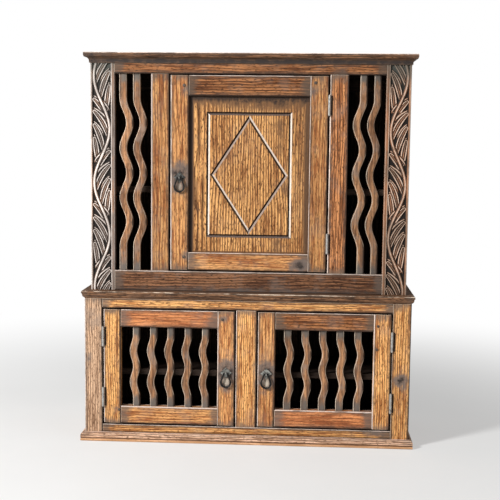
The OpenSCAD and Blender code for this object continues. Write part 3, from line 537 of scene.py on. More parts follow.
OAKS = {
    "oak_golden": dict(pale=(0.90, 0.47, 0.17), deep=(0.41, 0.155, 0.045),
        vein=(0.085, 0.032, 0.012), ring=5.0, lines=0.8, streaks=1.1),
    "oak_honey": dict(pale=(0.80, 0.40, 0.15), deep=(0.38, 0.13, 0.042),
        vein=(0.075, 0.03, 0.013), ring=6.5, lines=0.65),
    "oak_russet": dict(pale=(0.66, 0.26, 0.10), deep=(0.31, 0.095, 0.035),
        vein=(0.06, 0.024, 0.012), ring=7.0, lines=0.6),
    "oak_tawny": dict(pale=(0.52, 0.22, 0.085), deep=(0.21, 0.073, 0.026),
        vein=(0.04, 0.016, 0.008), ring=6.0, lines=0.9, streaks=1.25,
        damp=(0.12, 0.088, 0.065), grime=(0.13, 0.09, 0.068)),
    "oak_brown": dict(pale=(0.36, 0.165, 0.08), deep=(0.13, 0.052, 0.026),
        vein=(0.028, 0.014, 0.008), ring=6.0, lines=0.9, grey=0.45, streaks=1.3),
    "oak_dark": dict(pale=(0.22, 0.108, 0.053), deep=(0.07, 0.033, 0.017),
        vein=(0.015, 0.008, 0.005), ring=5.0, lines=0.9, grey=0.12, rubbed=0.9,
        streaks=1.5, gloss=0.5, dirt=0.3, grime=(0.075, 0.048, 0.034)),
    "oak_plinth": dict(pale=(0.84, 0.54, 0.37), deep=(0.42, 0.235, 0.14),
        vein=(0.10, 0.048, 0.025), ring=5.0, lines=0.9, streaks=1.3, dirt=0.25,
        scored=0.0138),
    "oak_pale": dict(pale=(0.76, 0.49, 0.31), deep=(0.38, 0.215, 0.125),
        vein=(0.10, 0.048, 0.025), ring=5.0, lines=0.8, grey=0.6),
    "oak_splat": dict(pale=(0.50, 0.255, 0.125), deep=(0.20, 0.09, 0.042),
        vein=(0.06, 0.033, 0.02), ring=6.0, lines=0.5, grey=0.75, rubbed=0.95,
        dirt=1.0, damp=(0.13, 0.115, 0.10)),
    "oak_panel": dict(pale=(0.86, 0.45, 0.165), deep=(0.36, 0.14, 0.045),
        vein=(0.07, 0.027, 0.011), ring=6.2, lines=1.0, grey=0.12, rubbed=0.25,
        streaks=0.8, tongue=0.008, grime=(0.18, 0.092, 0.045)),
    "oak_back": dict(pale=(0.40, 0.255, 0.165), deep=(0.17, 0.10, 0.062),
        vein=(0.05, 0.03, 0.02), ring=7.0, lines=0.8, grey=0.5, rubbed=0.1,
        gloss=0.75, dirt=0.9, damp=(0.14, 0.10, 0.075)),
    # The inside boards are painted near black, as the shade inside the cabinet
    "oak_inside": dict(pale=(0.045, 0.028, 0.02), deep=(0.022, 0.013, 0.009),
        vein=(0.012, 0.008, 0.006), ring=7.0, lines=0.5, grey=0.15, rubbed=0.1,
        gloss=0.7),
}
FINISH = {name: oak(name, **row) for name, row in OAKS.items()}
print("oak finishes", sorted(FINISH))

# %% [markdown]
# ## Iron and steel
#
# The pulls' plates are hammered iron, near black in the hollows and rubbed to bare metal
# where fingers touch, and the upper door's has been touched less. The rings are darker and
# smoother. The hinges are plainer steel with brown tarnish. Noise mixes two roughnesses in
# each, because an even roughness is what makes metal look like plastic.

# %% Iron and steel
SLOT_SHADE = (0.008, 0.007, 0.006)


def metal(name, bare, tarnish, share, rough, hammer, slotted=False):
    """Old metal: bare where rubbed, tarnished elsewhere, and painted black in a screw's
    slot as shade.
    """
    p = Paint(name)
    place = p.node("ShaderNodeTexCoord", out="Object")
    broad = p.noise(place, 120, 4.0, 0.6)
    small = p.noise(place, 700, 3.0, 0.6)
    dents = p.noise(place, 330, 1.0)
    mask = (broad * 0.65 + small * 0.35).rise(share - 0.12, share + 0.12)
    colour = p.mix(bare, tarnish, mask)
    if slotted:
        colour = p.mix(colour, SLOT_SHADE, p.read("slot"))
    height = dents * hammer + small * 0.3
    return p.finish(colour, mask * 0.3 + rough, p.bump(height, 0.5, 0.0005),
        Metallic=0.9 - mask * 0.35)


METALS = {
    "iron": dict(bare=(0.030, 0.030, 0.029), tarnish=(0.007, 0.007, 0.007), share=0.52,
        rough=0.42, hammer=1.2),
    "iron_plate": dict(bare=(0.50, 0.50, 0.46), tarnish=(0.045, 0.043, 0.04), share=0.49,
        rough=0.36, hammer=2.2),
    "iron_plate_dark": dict(bare=(0.20, 0.20, 0.185), tarnish=(0.03, 0.029, 0.027),
        share=0.46, rough=0.38, hammer=2.2),
    "hinge_steel": dict(bare=(0.52, 0.51, 0.48), tarnish=(0.10, 0.08, 0.065), share=0.58,
        rough=0.38, hammer=0.5),
    "screw_steel": dict(bare=(0.36, 0.33, 0.29), tarnish=(0.07, 0.055, 0.045), share=0.5,
        rough=0.42, hammer=0.3, slotted=True),
}
for name, row in METALS.items():
    FINISH[name] = metal(name, **row)
print("metal finishes", sorted(METALS))

# %% [markdown]
# ## Boards that look handled
#
# A CAD board has knife-sharp edges and dead flat faces, and no old cupboard has either. A
# bevel modifier would round every edge alike, hidden tenons and hinge slots too. So each
# board is rebuilt from its solid in four steps. Its loose triangles are joined and flat
# areas made whole. Long outer arrises are bevelled. Thin cuts every couple of centimetres
# give it points to move. Then the points drift by a fraction of a millimetre, more on the
# arrises, as planing by hand and a century of elbows leave them.

# %% Joining and rounding a board
SAME_PLACE = 2e-6
FLAT_ANGLE = math.radians(0.6)
SHORTEST_ARRIS = 0.011
SHARP_ANGLE = math.radians(32)
NARROWEST_FACE = 0.005


def points_of(mesh):
    points = np.empty(len(mesh.vertices) * 3)
    mesh.vertices.foreach_get("co", points)
    return points.reshape(-1, 3)


def joined(node):
    """A bmesh of a node's solids, with its triangles merged into whole flat faces."""
    shape = bmesh.new()
    shape.from_mesh(frame["nodes"][node].data)
    bmesh.ops.remove_doubles(shape, verts=shape.verts, dist=SAME_PLACE)
    bmesh.ops.dissolve_limit(shape, angle_limit=FLAT_ANGLE, verts=shape.verts,
        edges=shape.edges)
    return shape


def face_width(face):
    return face.calc_area() / max(e.calc_length() for e in face.edges)


def leans(face):
    """True for the wall of a cut line, which looks neither forwards nor sideways."""
    return 0.4 < abs(face.normal.y) < 0.93


def outer_arris(edge):
    """True for a long convex edge between two faces that are wide enough to round."""
    if len(edge.link_faces) != 2 or edge.calc_length() < SHORTEST_ARRIS:
        return False
    if edge.calc_face_angle_signed(0.0) < SHARP_ANGLE:
        return False
    return min(face_width(f) for f in edge.link_faces) > NARROWEST_FACE


def round_arrises(shape, width):
    edges = [e for e in shape.edges if outer_arris(e)
        and not any(leans(f) for f in e.link_faces)]
    made = bmesh.ops.bevel(shape, geom=edges, offset=width, offset_type="OFFSET",
        segments=3, profile=0.5, affect="EDGES", clamp_overlap=False)
    return made["verts"]


print("arrises longer than", SHORTEST_ARRIS * 1000, "mm are rounded")

# %% [markdown]
# ## Painted light and shade on walls
#
# The panel's cut lines have sloping walls, and each looks its own way. Light and shade are
# painted on them by that way: a wall that looks up is painted dim, one that looks up and
# left is painted half lit, one that looks left and down is painted pale as if lit, and the
# rest are painted black as shade. The gap round a door is painted black too, as the shade
# inside it. Such a face gets a number called wall: 1 is painted pale, 0.3 to 0.6 dim to
# half lit, and under 0 black.

# %% Groove walls and door gaps
DOORS = ("upper_door", "left_door", "right_door")
GAP_REACH, GAP_OVERLAP = 0.0045, 0.0015


def groove_wall(face):
    """How light the wall of one of the panel's cut lines is painted, by the way it faces.
    """
    normal = face.normal
    if not leans(face) or normal.y > 0 or face_width(face) < 0.003:
        return 0.0
    if normal.z > 0.2:
        return -0.7 if normal.x > 0.2 else 0.35 if normal.x > -0.2 else 0.6
    if normal.x > -0.25:
        return -1.0
    return 1.0 if normal.z > -0.1 else 0.85


def door_box(door):
    """A door's left, right, bottom and top."""
    stiles = [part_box(f"{door}_{board}") for board in ("hinge_stile", "lock_stile")]
    return (min(low.x for low, _ in stiles), max(high.x for _, high in stiles),
        stiles[0][0].z, stiles[0][1].z)


def in_door_gap(face):
    """True for a face that looks across the gap round a door."""
    if abs(face.normal.y) > 0.35:
        return False
    place = face.calc_center_median()
    for left, right, bottom, top in DOOR_BOXES:
        beyond = max(left - place.x, place.x - right, bottom - place.z, place.z - top)
        if -GAP_OVERLAP < beyond < GAP_REACH:
            return True
    return False


def wall_of(face, node):
    if node == "upper_door_panel":
        return groove_wall(face)
    # A door's gap is painted black, as the shade inside it
    return -0.75 if in_door_gap(face) else 0.0


DOOR_BOXES = [door_box(door) for door in DOORS]
print("door boxes", [[round(v, 3) for v in box] for box in DOOR_BOXES])

# %% [markdown]
# ## Cuts across a board, and the painted shadows beside the knuckles
#
# A flat face has no points inside it, so planes cut it into strips before it is worn. The
# same cut frames the black painted shadow that each hinge's knuckle gets on the board at
# its right, where the window's light doesn't reach. The pins say where the knuckles are.

# %% Cuts and the knuckles' painted shadows
KNUCKLE_LEE = (0.0036, 0.0078)
KNUCKLE_END = 0.001
HINGE_REACH = 0.01
SAME_POINT = 0.000001


def cut_at(shape, axis, place):
    """Cuts every face with the plane that crosses an axis at a place."""
    point, normal = Vector((0, 0, 0)), Vector((0, 0, 0))
    point[axis], normal[axis] = place, 1.0
    bmesh.ops.bisect_plane(shape, geom=shape.verts[:] + shape.edges[:] + shape.faces[:],
        dist=SAME_POINT, plane_co=point, plane_no=normal)


def cut_across(shape, axis, low, high, pitch):
    """Cuts every face with planes across an axis, a pitch apart."""
    count = max(1, round((high - low) / pitch))
    for i in range(1, count):
        cut_at(shape, axis, low + (high - low) * i / count)


def paint_shadow_beside(shape, box, layer):
    """Marks the front's faces inside the box black, as a painted shadow."""
    left, right, bottom, top = box
    for axis, place in ((0, left), (0, right), (2, bottom), (2, top)):
        cut_at(shape, axis, place)
    shape.normal_update()
    for face in shape.faces:
        place = face.calc_center_median()
        if face.normal.y < -0.3 and left < place.x < right and bottom < place.z < top:
            face[layer] = -1.0


def pins_of(door):
    """Each hinge pin of a door: the x and y of its axis, and its lower and upper end."""
    points = points_of(frame["nodes"]["hinge_pins"].data)
    low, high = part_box(door + "_hinge_leaves")
    beside = (points[:, 0] > low.x) & (points[:, 0] < high.x)
    beside &= (points[:, 2] > low.z - HINGE_REACH) & (points[:, 2] < high.z + HINGE_REACH)
    mine = points[beside]
    middle = (low.z + high.z) / 2
    found = []
    for pin in (mine[mine[:, 2] < middle], mine[mine[:, 2] > middle]):
        least, most = pin.min(0), pin.max(0)
        x, y = (least[0] + most[0]) / 2, (least[1] + most[1]) / 2
        found.append((x, y, least[2], most[2]))
    return found


HINGE_PINS = {door: pins_of(door) for door in DOORS}
BESIDE_KNUCKLES = {"upper_door": "inner_stile_right", "left_door": "left_door_hinge_stile",
    "right_door": "base_stile_right"}
KNUCKLE_SHADOWS = {}
for door, board in BESIDE_KNUCKLES.items():
    KNUCKLE_SHADOWS[board] = [(x + KNUCKLE_LEE[0], x + KNUCKLE_LEE[1], bottom + KNUCKLE_END,
        top - KNUCKLE_END) for x, _, bottom, top in HINGE_PINS[door]]
print("knuckles", {board: len(marks) for board, marks in KNUCKLE_SHADOWS.items()})

# %% [markdown]
# ## The drift of the surfaces
#
# The drift is one field over the whole cabinet, so two boards that touch move together. A
# broad wander of a quarter of a millimetre and a finer one add up.

# %% Drift
BROAD, FINE = (17, 0.00025), (60, 0.00008)


def drift(point):
    """How far the whole cabinet's surface wanders at a point."""
    return (noise.noise_vector(point * BROAD[0]) * BROAD[1]
        + noise.noise_vector(point * FINE[0]) * FINE[1])


print("the drift at one corner, in millimetres", round(drift(cad_low).length * 1000, 3))

# %% [markdown]
# ## Where dirt gathers and shade is painted
#
# Hands leave a dark halo round each pull and a paler one below it. The strip under the
# cornice and the crease above the waist moulding are painted darker, as shade, and other
# smears darken the corners of the frames. Each smear is a soft ellipse on the front: its
# middle and its two reaches in millimetres, and its strength. The panel has its own, so
# that a door's smears don't darken it; its band along the top and its long one down the
# right are painted shade.

# %% Smears of dirt and painted shade
# The bands at z 905.5 under the cornice and at z 368 above the waist moulding are painted
# shade
SMEARS_AND_SHADE = [
    (-146, 449, 13, 10, 0.6), (-148, 838, 12, 14, 0.45), (146, 838, 13, 14, 0.5),
    (122, 430, 24, 15, 0.95), (-55, 304, 13, 11, 0.5), (-312, 76, 12, 10, 0.4),
    (366, 165, 15, 14, 1.1), (374, 148, 8, 13, 0.7), (-378, 195, 8, 16, 0.5),
    (306, 35, 26, 7, 0.75), (-225, 350, 9, 10, 0.4), (210, 880, 14, 18, 0.45),
    (0, 905.5, 900, 6, 1.1), (-385, 915, 70, 30, 0.7), (0, 368, 420, 9, 0.4),
]
for x, z, below in ((-164, 642, 0.6), (-48, 176, 0.7), (48, 176, 0.7)):
    SMEARS_AND_SHADE += [(x, z, 26, 26, 1.0), (x, z - 20, 24, 30, below)]
# On the panel, the band along the top and the long one down the right are painted shade
PANEL_SMEARS_AND_SHADE = [
    (120, 690, 40, 190, 0.22), (60, 823, 200, 28, 0.85), (72, 753, 13, 22, 0.62),
    (68, 708, 8, 28, 0.48), (88, 608, 11, 18, 0.5), (68, 478, 9, 26, 0.62),
]


def smear_at(point, smears):
    total = 0.0
    for x, z, wide, high, strength in smears:
        reach = ((point.x / MM - x) / wide) ** 2 + ((point.z / MM - z) / high) ** 2
        total = max(total, strength * math.exp(-reach * 1.1))
    return total


print("smears", len(SMEARS_AND_SHADE), "and on the panel", len(PANEL_SMEARS_AND_SHADE))

# %% [markdown]
# ## The table of boards
#
# Each board has a finish, the way its grain runs, how much of each end is a hidden tenon,
# where the tree's heart lay (across and deep, in millimetres), and how much lighter or
# darker it is than its finish. The finishes follow the picture: golden in the lower stage,
# browner above, and dark mouldings. A heart far to the side gives stripes, and a near one
# behind the face gives arches.

# %% Boards
# Finish, grain axis, hidden end, heart and tone. A board's place in the table is its seed
BOARDS = {
    "base_stile_left": ("oak_pale", "Z", -10, (150, 40), -0.04),
    "base_stile_right": ("oak_golden", "Z", -10, (70, 45), 0.12),
    "base_centre_stile": ("oak_golden", "Z", 3, (160, 30), 0.17),
    "base_top_rail": ("oak_golden", "X", 24, (30, 26), 0.12),
    "base_bottom_rail": ("oak_golden", "X", 24, (45, 30), -0.05),
    "base_side_left": ("oak_pale", "Z", -10, (20, 60), -0.25),
    "base_side_right": ("oak_honey", "Z", -10, (25, 50), -0.2),
    "base_bottom_board": ("oak_inside", "X", 0, (20, 60), 0.0),
    "base_shelf": ("oak_inside", "X", 0, (50, 40), -0.3),
    "base_shelf_bearers": ("oak_inside", "Y", 0, (50, 20), 0.0),
    "base_back_boards": ("oak_back", "Z", 0, (30, 45), 0.0),
    "base_door_stop": ("oak_inside", "X", 0, (30, 30), 0.0),
    "plinth_front": ("oak_plinth", "X", 0, (40, 30), 0.1),
    "plinth_returns": ("oak_plinth", "Y", 0, (40, 30), -0.1),
    "waist_board": ("oak_dark", "X", 0, (40, 70), 0.35),
    "inner_stile_left": ("oak_honey", "Z", 3, (40, 30), -0.26),
    "inner_stile_right": ("oak_tawny", "Z", 3, (90, 30), 0.28),
    "upper_top_rail": ("oak_tawny", "X", 24, (60, 20), -0.16),
    "upper_bottom_rail": ("oak_brown", "X", 24, (50, 40), -0.2),
    "upper_side_left": ("oak_brown", "Z", -10, (30, 60), 0.05),
    "upper_side_right": ("oak_brown", "Z", -10, (25, 50), 0.0),
    "upper_shelf": ("oak_inside", "X", 0, (40, 50), 0.1),
    "upper_shelf_bearers": ("oak_inside", "Y", 0, (40, 20), 0.0),
    "upper_back_boards": ("oak_back", "Z", 0, (30, 45), 0.0),
    "hanging_rail": ("oak_inside", "X", 0, (50, 30), 0.15),
    "top_board": ("oak_dark", "X", 0, (30, 60), 0.25),
    "cornice_front": ("oak_dark", "X", 0, (60, 25), 0.25),
    "cornice_returns": ("oak_dark", "Y", 0, (60, 25), 0.0),
    "upper_door_stop": ("oak_inside", "X", 0, (30, 30), 0.0),
    "upper_door_lock_stile": ("oak_honey", "Z", -10, (26, 24), -0.1),
    "upper_door_hinge_stile": ("oak_honey", "Z", -10, (45, 26), -0.2),
    "upper_door_top_rail": ("oak_tawny", "X", 24, (28, 20), -0.22),
    "upper_door_bottom_rail": ("oak_honey", "X", 24, (16, 14), 0.0),
    "upper_door_panel": ("oak_panel", "Z", 0, (130, 34), -0.08),
    "left_door_lock_stile": ("oak_honey", "Z", -10, (40, 28), 0.12),
    "left_door_hinge_stile": ("oak_golden", "Z", -10, (36, 30), -0.02),
    "left_door_top_rail": ("oak_russet", "X", 24, (34, 30), 0.12),
    "left_door_bottom_rail": ("oak_honey", "X", 24, (36, 18), 0.02),
    "right_door_lock_stile": ("oak_honey", "Z", -10, (60, 30), 0.06),
    "right_door_hinge_stile": ("oak_golden", "Z", -10, (30, 26), 0.24),
    "right_door_top_rail": ("oak_tawny", "X", 24, (34, 30), 0.06),
    "right_door_bottom_rail": ("oak_russet", "X", 24, (22, 18), 0.2),
}
ROUGH = ("oak_inside", "oak_back")
GRAIN_AXIS = {"X": 0, "Y": 1, "Z": 2}
body_of_node = {}
for body_name, members in frame["record"]["behaviour"]["bodies"].items():
    for member in members:
        body_of_node[member] = body_name

# %% [markdown]
# ## Giving a board its grain
#
# The axis of the grain, the thinner of the other two and the wider one become along,
# depth and across. Where a node holds several boards, such as a back, each loose piece gets
# its own bit of the tree, so that no two share a pattern. The inner side of the back boards
# is painted darker, as the shade inside the cabinet, by a number taken off their tone.

# %% Grain, ends, wear and tone as data on the mesh
def loose_parts(mesh):
    """For each vertex, the number of the loose piece that it belongs to."""
    part = np.arange(len(mesh.vertices))
    ends = np.empty(len(mesh.edges) * 2, np.int32)
    mesh.edges.foreach_get("vertices", ends)
    ends = ends.reshape(-1, 2)
    while True:
        least = np.minimum(part[ends[:, 0]], part[ends[:, 1]])
        before = part.copy()
        np.minimum.at(part, ends[:, 0], least)
        np.minimum.at(part, ends[:, 1], least)
        part = part[part]
        if (part == before).all():
            return np.unique(part, return_inverse=True)[1]


def carry(mesh, name, values):
    """Writes one number or one vector for each vertex."""
    kind, key = ("FLOAT", "value") if values.ndim == 1 else ("FLOAT_VECTOR", "vector")
    made = mesh.attributes.new(name, kind, "POINT")
    made.data.foreach_set(key, np.ascontiguousarray(values, np.float32).ravel())


def give_grain(mesh, axis, hidden, heart, tone, seed, parts=None, lit_from=None,
        lee_from=0.0, inner_shade=0.0, ring=None):
    """Writes where each point lies in its board's wood, from the heart across and along
    the grain, how far it is from the board's sides and ends, and its board's tone."""
    rng = np.random.default_rng(seed)
    points = points_of(mesh)
    parts = loose_parts(mesh) if parts is None else parts
    grain, near, far = (np.zeros_like(points) for _ in range(3))
    tones = np.zeros(len(points))
    lee, lit = np.ones(len(points)), np.ones(len(points))
    for number in range(parts.max() + 1):
        own = parts == number
        mine = points[own]
        low, high = mine.min(0), mine.max(0)
        thin, wide = sorted({0, 1, 2} - {axis}, key=lambda i: high[i] - low[i])
        side = 1 if rng.random() < 0.5 else -1
        middle = (low + high) / 2
        grain[own, 0] = mine[:, wide] - middle[wide] + side * heart[0] * MM
        grain[own, 1] = mine[:, thin] - middle[thin] + heart[1] * MM
        grain[own, 2] = mine[:, axis] + rng.uniform(2, 60)
        low[axis] += hidden * MM
        high[axis] -= hidden * MM
        order = [wide, thin, axis]
        near[own] = (mine - low)[:, order]
        far[own] = (high - mine)[:, order]
        tones[own] = tone + (rng.uniform(-0.12, 0.12) if parts.max() else 0.0)
        # The inner face of a back board is painted darker, as the cabinet's inner shade
        tones[own] -= inner_shade * (mine[:, 1] < middle[1])
        # lee is the distance from the arris facing away from the window, painted as a shade
        # line, and lit the distance from the one facing it, painted as a highlight
        if wide != 1:
            lee[own] = (near if axis == 0 else far)[own, 0] - lee_from
            if lit_from is not None:
                lit[own] = (far if axis == 0 else near)[own, 0] + lit_from * MM
    carry(mesh, "grain", grain)
    carry(mesh, "near", near)
    carry(mesh, "far", far)
    carry(mesh, "tone", tones)
    carry(mesh, "lee", lee)
    carry(mesh, "lit", lit)
    carry(mesh, "from_ring", np.ones_like(points) if ring is None else points - ring)


def show(name, mesh, body, finish, *nodes):
    """Makes the finished piece: its object, finish, body, and the nodes it stands for."""
    made = bpy.data.objects.new(name, mesh)
    bpy.context.scene.collection.objects.link(made)
    mesh.materials.clear()
    mesh.materials.append(FINISH[finish])
    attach(made, body)
    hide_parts(*nodes)
    return made


# %% [markdown]
# ## What differs from board to board
#
# Some arrises get a wider painted highlight than others, mouldings get pale lines along
# their crowns, partly rubbed where a duster runs and partly painted highlights, and the
# three lock stiles are polished where a ring lies against them. The values are small
# tables, by the board's name.

# %% Painted highlights, dusters and rings
# How far inside its left or upper arris a board's painted highlight stops; smaller is wider
LIT_EDGES = {
    "inner_stile_left": 0.0, "upper_door_lock_stile": 0.2, "right_door_bottom_rail": 0.7,
    "left_door_bottom_rail": 0.7, "upper_bottom_rail": 0.7, "right_door_hinge_stile": 0.8,
    "upper_door_top_rail": 0.9, "inner_stile_right": 0.9, "base_stile_left": 0.8,
    "left_door_lock_stile": 0.9, "left_door_hinge_stile": 1.0, "right_door_lock_stile": 1.1,
    "base_top_rail": 3.0, "base_stile_right": 3.0, "base_bottom_rail": 1.8,
    "upper_top_rail": 2.2, "cornice_front": 1.8,
}
PLAIN_LIT_EDGE = 1.5
# Pale lines along a moulding, partly a duster's rub and partly painted highlights:
# millimetres below its top, reach and strength
RUBBED_AND_LIT_LINES = {
    "waist_board": ((0.9, 1.7, 0.8), (9.5, 1.2, 0.3)),
    "plinth_front": ((2.5, 1.5, 0.62),),
    "plinth_returns": ((2.5, 1.5, 0.62),),
    "cornice_front": ((1.2, 1.0, 0.62), (12.0, 1.2, 0.6)),
    "cornice_returns": ((1.2, 1.0, 0.5), (12.0, 1.2, 0.5)),
}
# How much of their arrises the side mouldings have lost, where the front ones have all
RUBBED_ARRISES = {"cornice_returns": 0.45}
# The ring that lies against a stile, and how far it seems to stand off, in millimetres: the
# further, the less it has polished the wood
RINGS = {"upper_door_lock_stile": ("upper_pull_ring", 3.5),
    "left_door_lock_stile": ("left_pull_ring", 0.0),
    "right_door_lock_stile": ("right_pull_ring", 0.0)}


def ring_place(node, stand_off):
    """Where a pull's ring lies against the board and has polished it pale."""
    low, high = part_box(node)
    depth = (low.y + high.y) / 2 - stand_off * MM
    return np.array([(low.x + high.x) / 2, depth, low.z * 0.64 + high.z * 0.36])


print("polished places", sorted(RINGS), "rubbed lines on", sorted(RUBBED_AND_LIT_LINES))

# %% [markdown]
# ## Wearing one board
#
# The order matters. The arrises are rounded while the board still has its few whole faces,
# and the cuts come after that. Wear, smears and dents are then worked out at each point.
# No point may leave the box of the solids, because the cabinet must keep its size.

# %% Making a board's faces
ARRIS, ROUGH_ARRIS = 0.0013, 0.0008
CUTS, ROUGH_CUTS, LINE_CUTS = (0.018, 0.011), (0.05, 0.05), 0.0016


def mark_arrises(shape, node, arris, rub):
    """Rounds the arrises, and marks how bare they are rubbed."""
    rounded = [v for v in round_arrises(shape, arris) if v.is_valid]
    for vertex in rounded:
        # The outer rows of a bevel belong to a wide face too, so the wear fades out there
        beside_face = max(face_width(f) for f in vertex.link_faces) > 2 * arris
        vertex[rub] = 0.0 if beside_face else RUBBED_ARRISES.get(node, 1.0)


def mark_walls(shape, node, wall):
    shape.normal_update()
    for face in shape.faces:
        face[wall] = wall_of(face, node)
        face.smooth = True


def cut_for_wear(shape, node, axis, cuts, wall):
    """Cuts a board's faces into small ones, and paints the knuckles' shadows black beside
    them.
    """
    low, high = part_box(node)
    spread = sorted({0, 1, 2} - {axis}, key=lambda i: high[i] - low[i])[1]
    for across, pitch in zip((axis, spread), cuts):
        cut_across(shape, across, low[across], high[across], pitch)
    if node in RUBBED_AND_LIT_LINES:
        cut_across(shape, 2, low.z, high.z, LINE_CUTS)
    for knuckle in KNUCKLE_SHADOWS.get(node, ()):
        paint_shadow_beside(shape, knuckle, wall)
    shape.normal_update()


print("rounded by", ARRIS * 1000, "mm, and rough boards by", ROUGH_ARRIS * 1000, "mm")

# %% Wearing its points
FRONT_HALF = -0.09
DENT_DEPTH = 0.0011
SMOOTH_ANGLE = math.radians(36)


def duster_rub_and_highlight(vertex, point, top, line, seed):
    """How pale a moulding's line is at a point, partly rub and partly painted highlight."""
    below, reach, strength = line
    off = ((top - point.z) / MM - below) / reach
    rubbed = strength * math.exp(-off * off) if abs(vertex.normal.z) < 0.9 else 0.0
    return rubbed * (0.85 + 0.45 * noise.noise(Vector((point.x * 9, seed, below))))


def wear(shape, node, seed, rub, soil_and_shade):
    """Soils a board and paints shade on it with the smears, rubs it, paints highlights on
    its moulding lines, dents it, and lets it drift within the box of the solids.
    """
    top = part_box(node)[1].z
    smears = PANEL_SMEARS_AND_SHADE if node == "upper_door_panel" else SMEARS_AND_SHADE
    for vertex in shape.verts:
        point = vertex.co.copy()
        if point.y < FRONT_HALF:
            vertex[soil_and_shade] = smear_at(point, smears)
        # The moulding's pale lines go into rub: partly wear and partly a painted highlight
        for line in RUBBED_AND_LIT_LINES.get(node, ()):
            vertex[rub] = max(vertex[rub], duster_rub_and_highlight(vertex, point, top, line, seed))
        dent = max(0.0, noise.noise(point * 75 + Vector((seed, 0, 0))))
        inwards = vertex.normal * (-DENT_DEPTH * dent * vertex[rub])
        vertex.co = point + drift(point) + inwards
        for i in range(3):
            vertex.co[i] = min(max(vertex.co[i], cad_low[i]), cad_high[i])
    for edge in shape.edges:
        edge.smooth = edge.calc_face_angle(0.0) < SMOOTH_ANGLE


print("dents up to", DENT_DEPTH * 1000, "mm")

# %% Making every board
INNER_SHADE = 0.85
SHADE_ABOVE_PLINTH = 0.0015


def handled(node, finish, axis, hidden, heart, tone, seed):
    """The worn board that stands for a node, and its volume."""
    shape = joined(node)
    rough = finish in ROUGH
    # Layers come first: a new one makes every vertex held in Python invalid
    rub = shape.verts.layers.float.new("rub")
    soil_and_shade = shape.verts.layers.float.new("soil_and_shade")
    wall = shape.faces.layers.float.new("wall")
    mark_arrises(shape, node, ROUGH_ARRIS if rough else ARRIS, rub)
    mark_walls(shape, node, wall)
    cut_for_wear(shape, node, axis, ROUGH_CUTS if rough else CUTS, wall)
    wear(shape, node, seed, rub, soil_and_shade)
    mesh = bpy.data.meshes.new("worn_" + node)
    volume = shape.calc_volume()
    shape.to_mesh(mesh)
    shape.free()
    # The plinth hides a strip of the bottom rail, and the painted shade line lies above
    # that
    covered = 0.0
    if node == "base_bottom_rail":
        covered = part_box("plinth_front")[1].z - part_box(node)[0].z + SHADE_ABOVE_PLINTH
    give_grain(mesh, axis, hidden, heart, tone, seed,
        lit_from=LIT_EDGES.get(node, PLAIN_LIT_EDGE), lee_from=covered,
        inner_shade=INNER_SHADE if finish == "oak_back" else 0.0,
        ring=ring_place(*RINGS[node]) if node in RINGS else None)
    made = show("worn_" + node, mesh, body_of_node[node], finish, node)
    evened = made.modifiers.new("even_normals", "WEIGHTED_NORMAL")
    evened.keep_sharp = True
    return made, volume


board_volume = 0.0
for seed, (node, row) in enumerate(BOARDS.items()):
    finish, direction, hidden, heart, tone = row
    made, volume = handled(node, finish, GRAIN_AXIS[direction], hidden, heart, tone, seed)
    board_volume += volume
    print(made.name, len(made.data.vertices), "points", round(volume * 1e6), "cm3")
print("all boards", round(board_volume * 1000, 2), "litres")

# %% [markdown]
# ## Trees of geometry nodes
#
# Wavy splats, pegs, nails and screws follow rules, so Geometry Nodes make them. Growth adds
# nodes to a tree through one method, as Paint does for a finish, and gives the tree named
# inputs. grow() puts the tree on a mesh, sets its inputs by their sockets' identifiers, and
# returns the result as a plain mesh, which is what the rest of the cabinet is made of.

# %% A geometry tree under construction
class Growth:
    """A new geometry tree with named inputs, which are given as name: (kind, value)."""

    def __init__(self, name, inputs):
        self.tree = bpy.data.node_groups.new(name, "GeometryNodeTree")
        face = self.tree.interface
        face.new_socket("Geometry", in_out="INPUT", socket_type="NodeSocketGeometry")
        face.new_socket("Geometry", in_out="OUTPUT", socket_type="NodeSocketGeometry")
        for key, (kind, value) in inputs.items():
            socket = face.new_socket(key, in_out="INPUT", socket_type="NodeSocket" + kind)
            if value is not None:
                socket.default_value = value
        self.start = self.tree.nodes.new("NodeGroupInput")
        self.end = self.tree.nodes.new("NodeGroupOutput")

    def __getitem__(self, name):
        return self.start.outputs[name]

    def node(self, kind, settings=None, sockets=None, out=0):
        made = self.tree.nodes.new(kind)
        for key, value in (settings or {}).items():
            setattr(made, key, value)
        for key, value in (sockets or {}).items():
            if isinstance(value, bpy.types.NodeSocket):
                self.tree.links.new(value, made.inputs[key])
            else:
                made.inputs[key].default_value = value
        return made.outputs[out]

    def maths(self, operation, *values):
        settings = {"operation": operation}
        return self.node("ShaderNodeMath", settings, dict(enumerate(values)))

    def vectors(self, operation, *values):
        settings = {"operation": operation}
        return self.node("ShaderNodeVectorMath", settings, dict(enumerate(values)))

    def solid(self, geometry, finish):
        """Ends the tree: instances made real, and the finish set."""
        real = self.node("GeometryNodeRealizeInstances", None, {0: geometry})
        done = self.node("GeometryNodeSetMaterial", None, {0: real, "Material": finish})
        self.tree.links.new(done, self.end.inputs[0])


def grow(name, tree, start_mesh, values):
    """The plain mesh that a tree makes from start_mesh with these input values."""
    seedling = bpy.data.objects.new(name + "_seedling", start_mesh)
    bpy.context.scene.collection.objects.link(seedling)
    modifier = seedling.modifiers.new("growth", "NODES")
    modifier.node_group = tree
    for item in tree.interface.items_tree:
        if item.in_out == "INPUT" and item.name in values:
            modifier[item.identifier] = values[item.name]
    graph = bpy.context.evaluated_depsgraph_get()
    graph.update()
    mesh = bpy.data.meshes.new_from_object(seedling.evaluated_get(graph))
    mesh.name = name
    bpy.data.objects.remove(seedling)
    return mesh


print("geometry trees end in Realize Instances and Set Material")

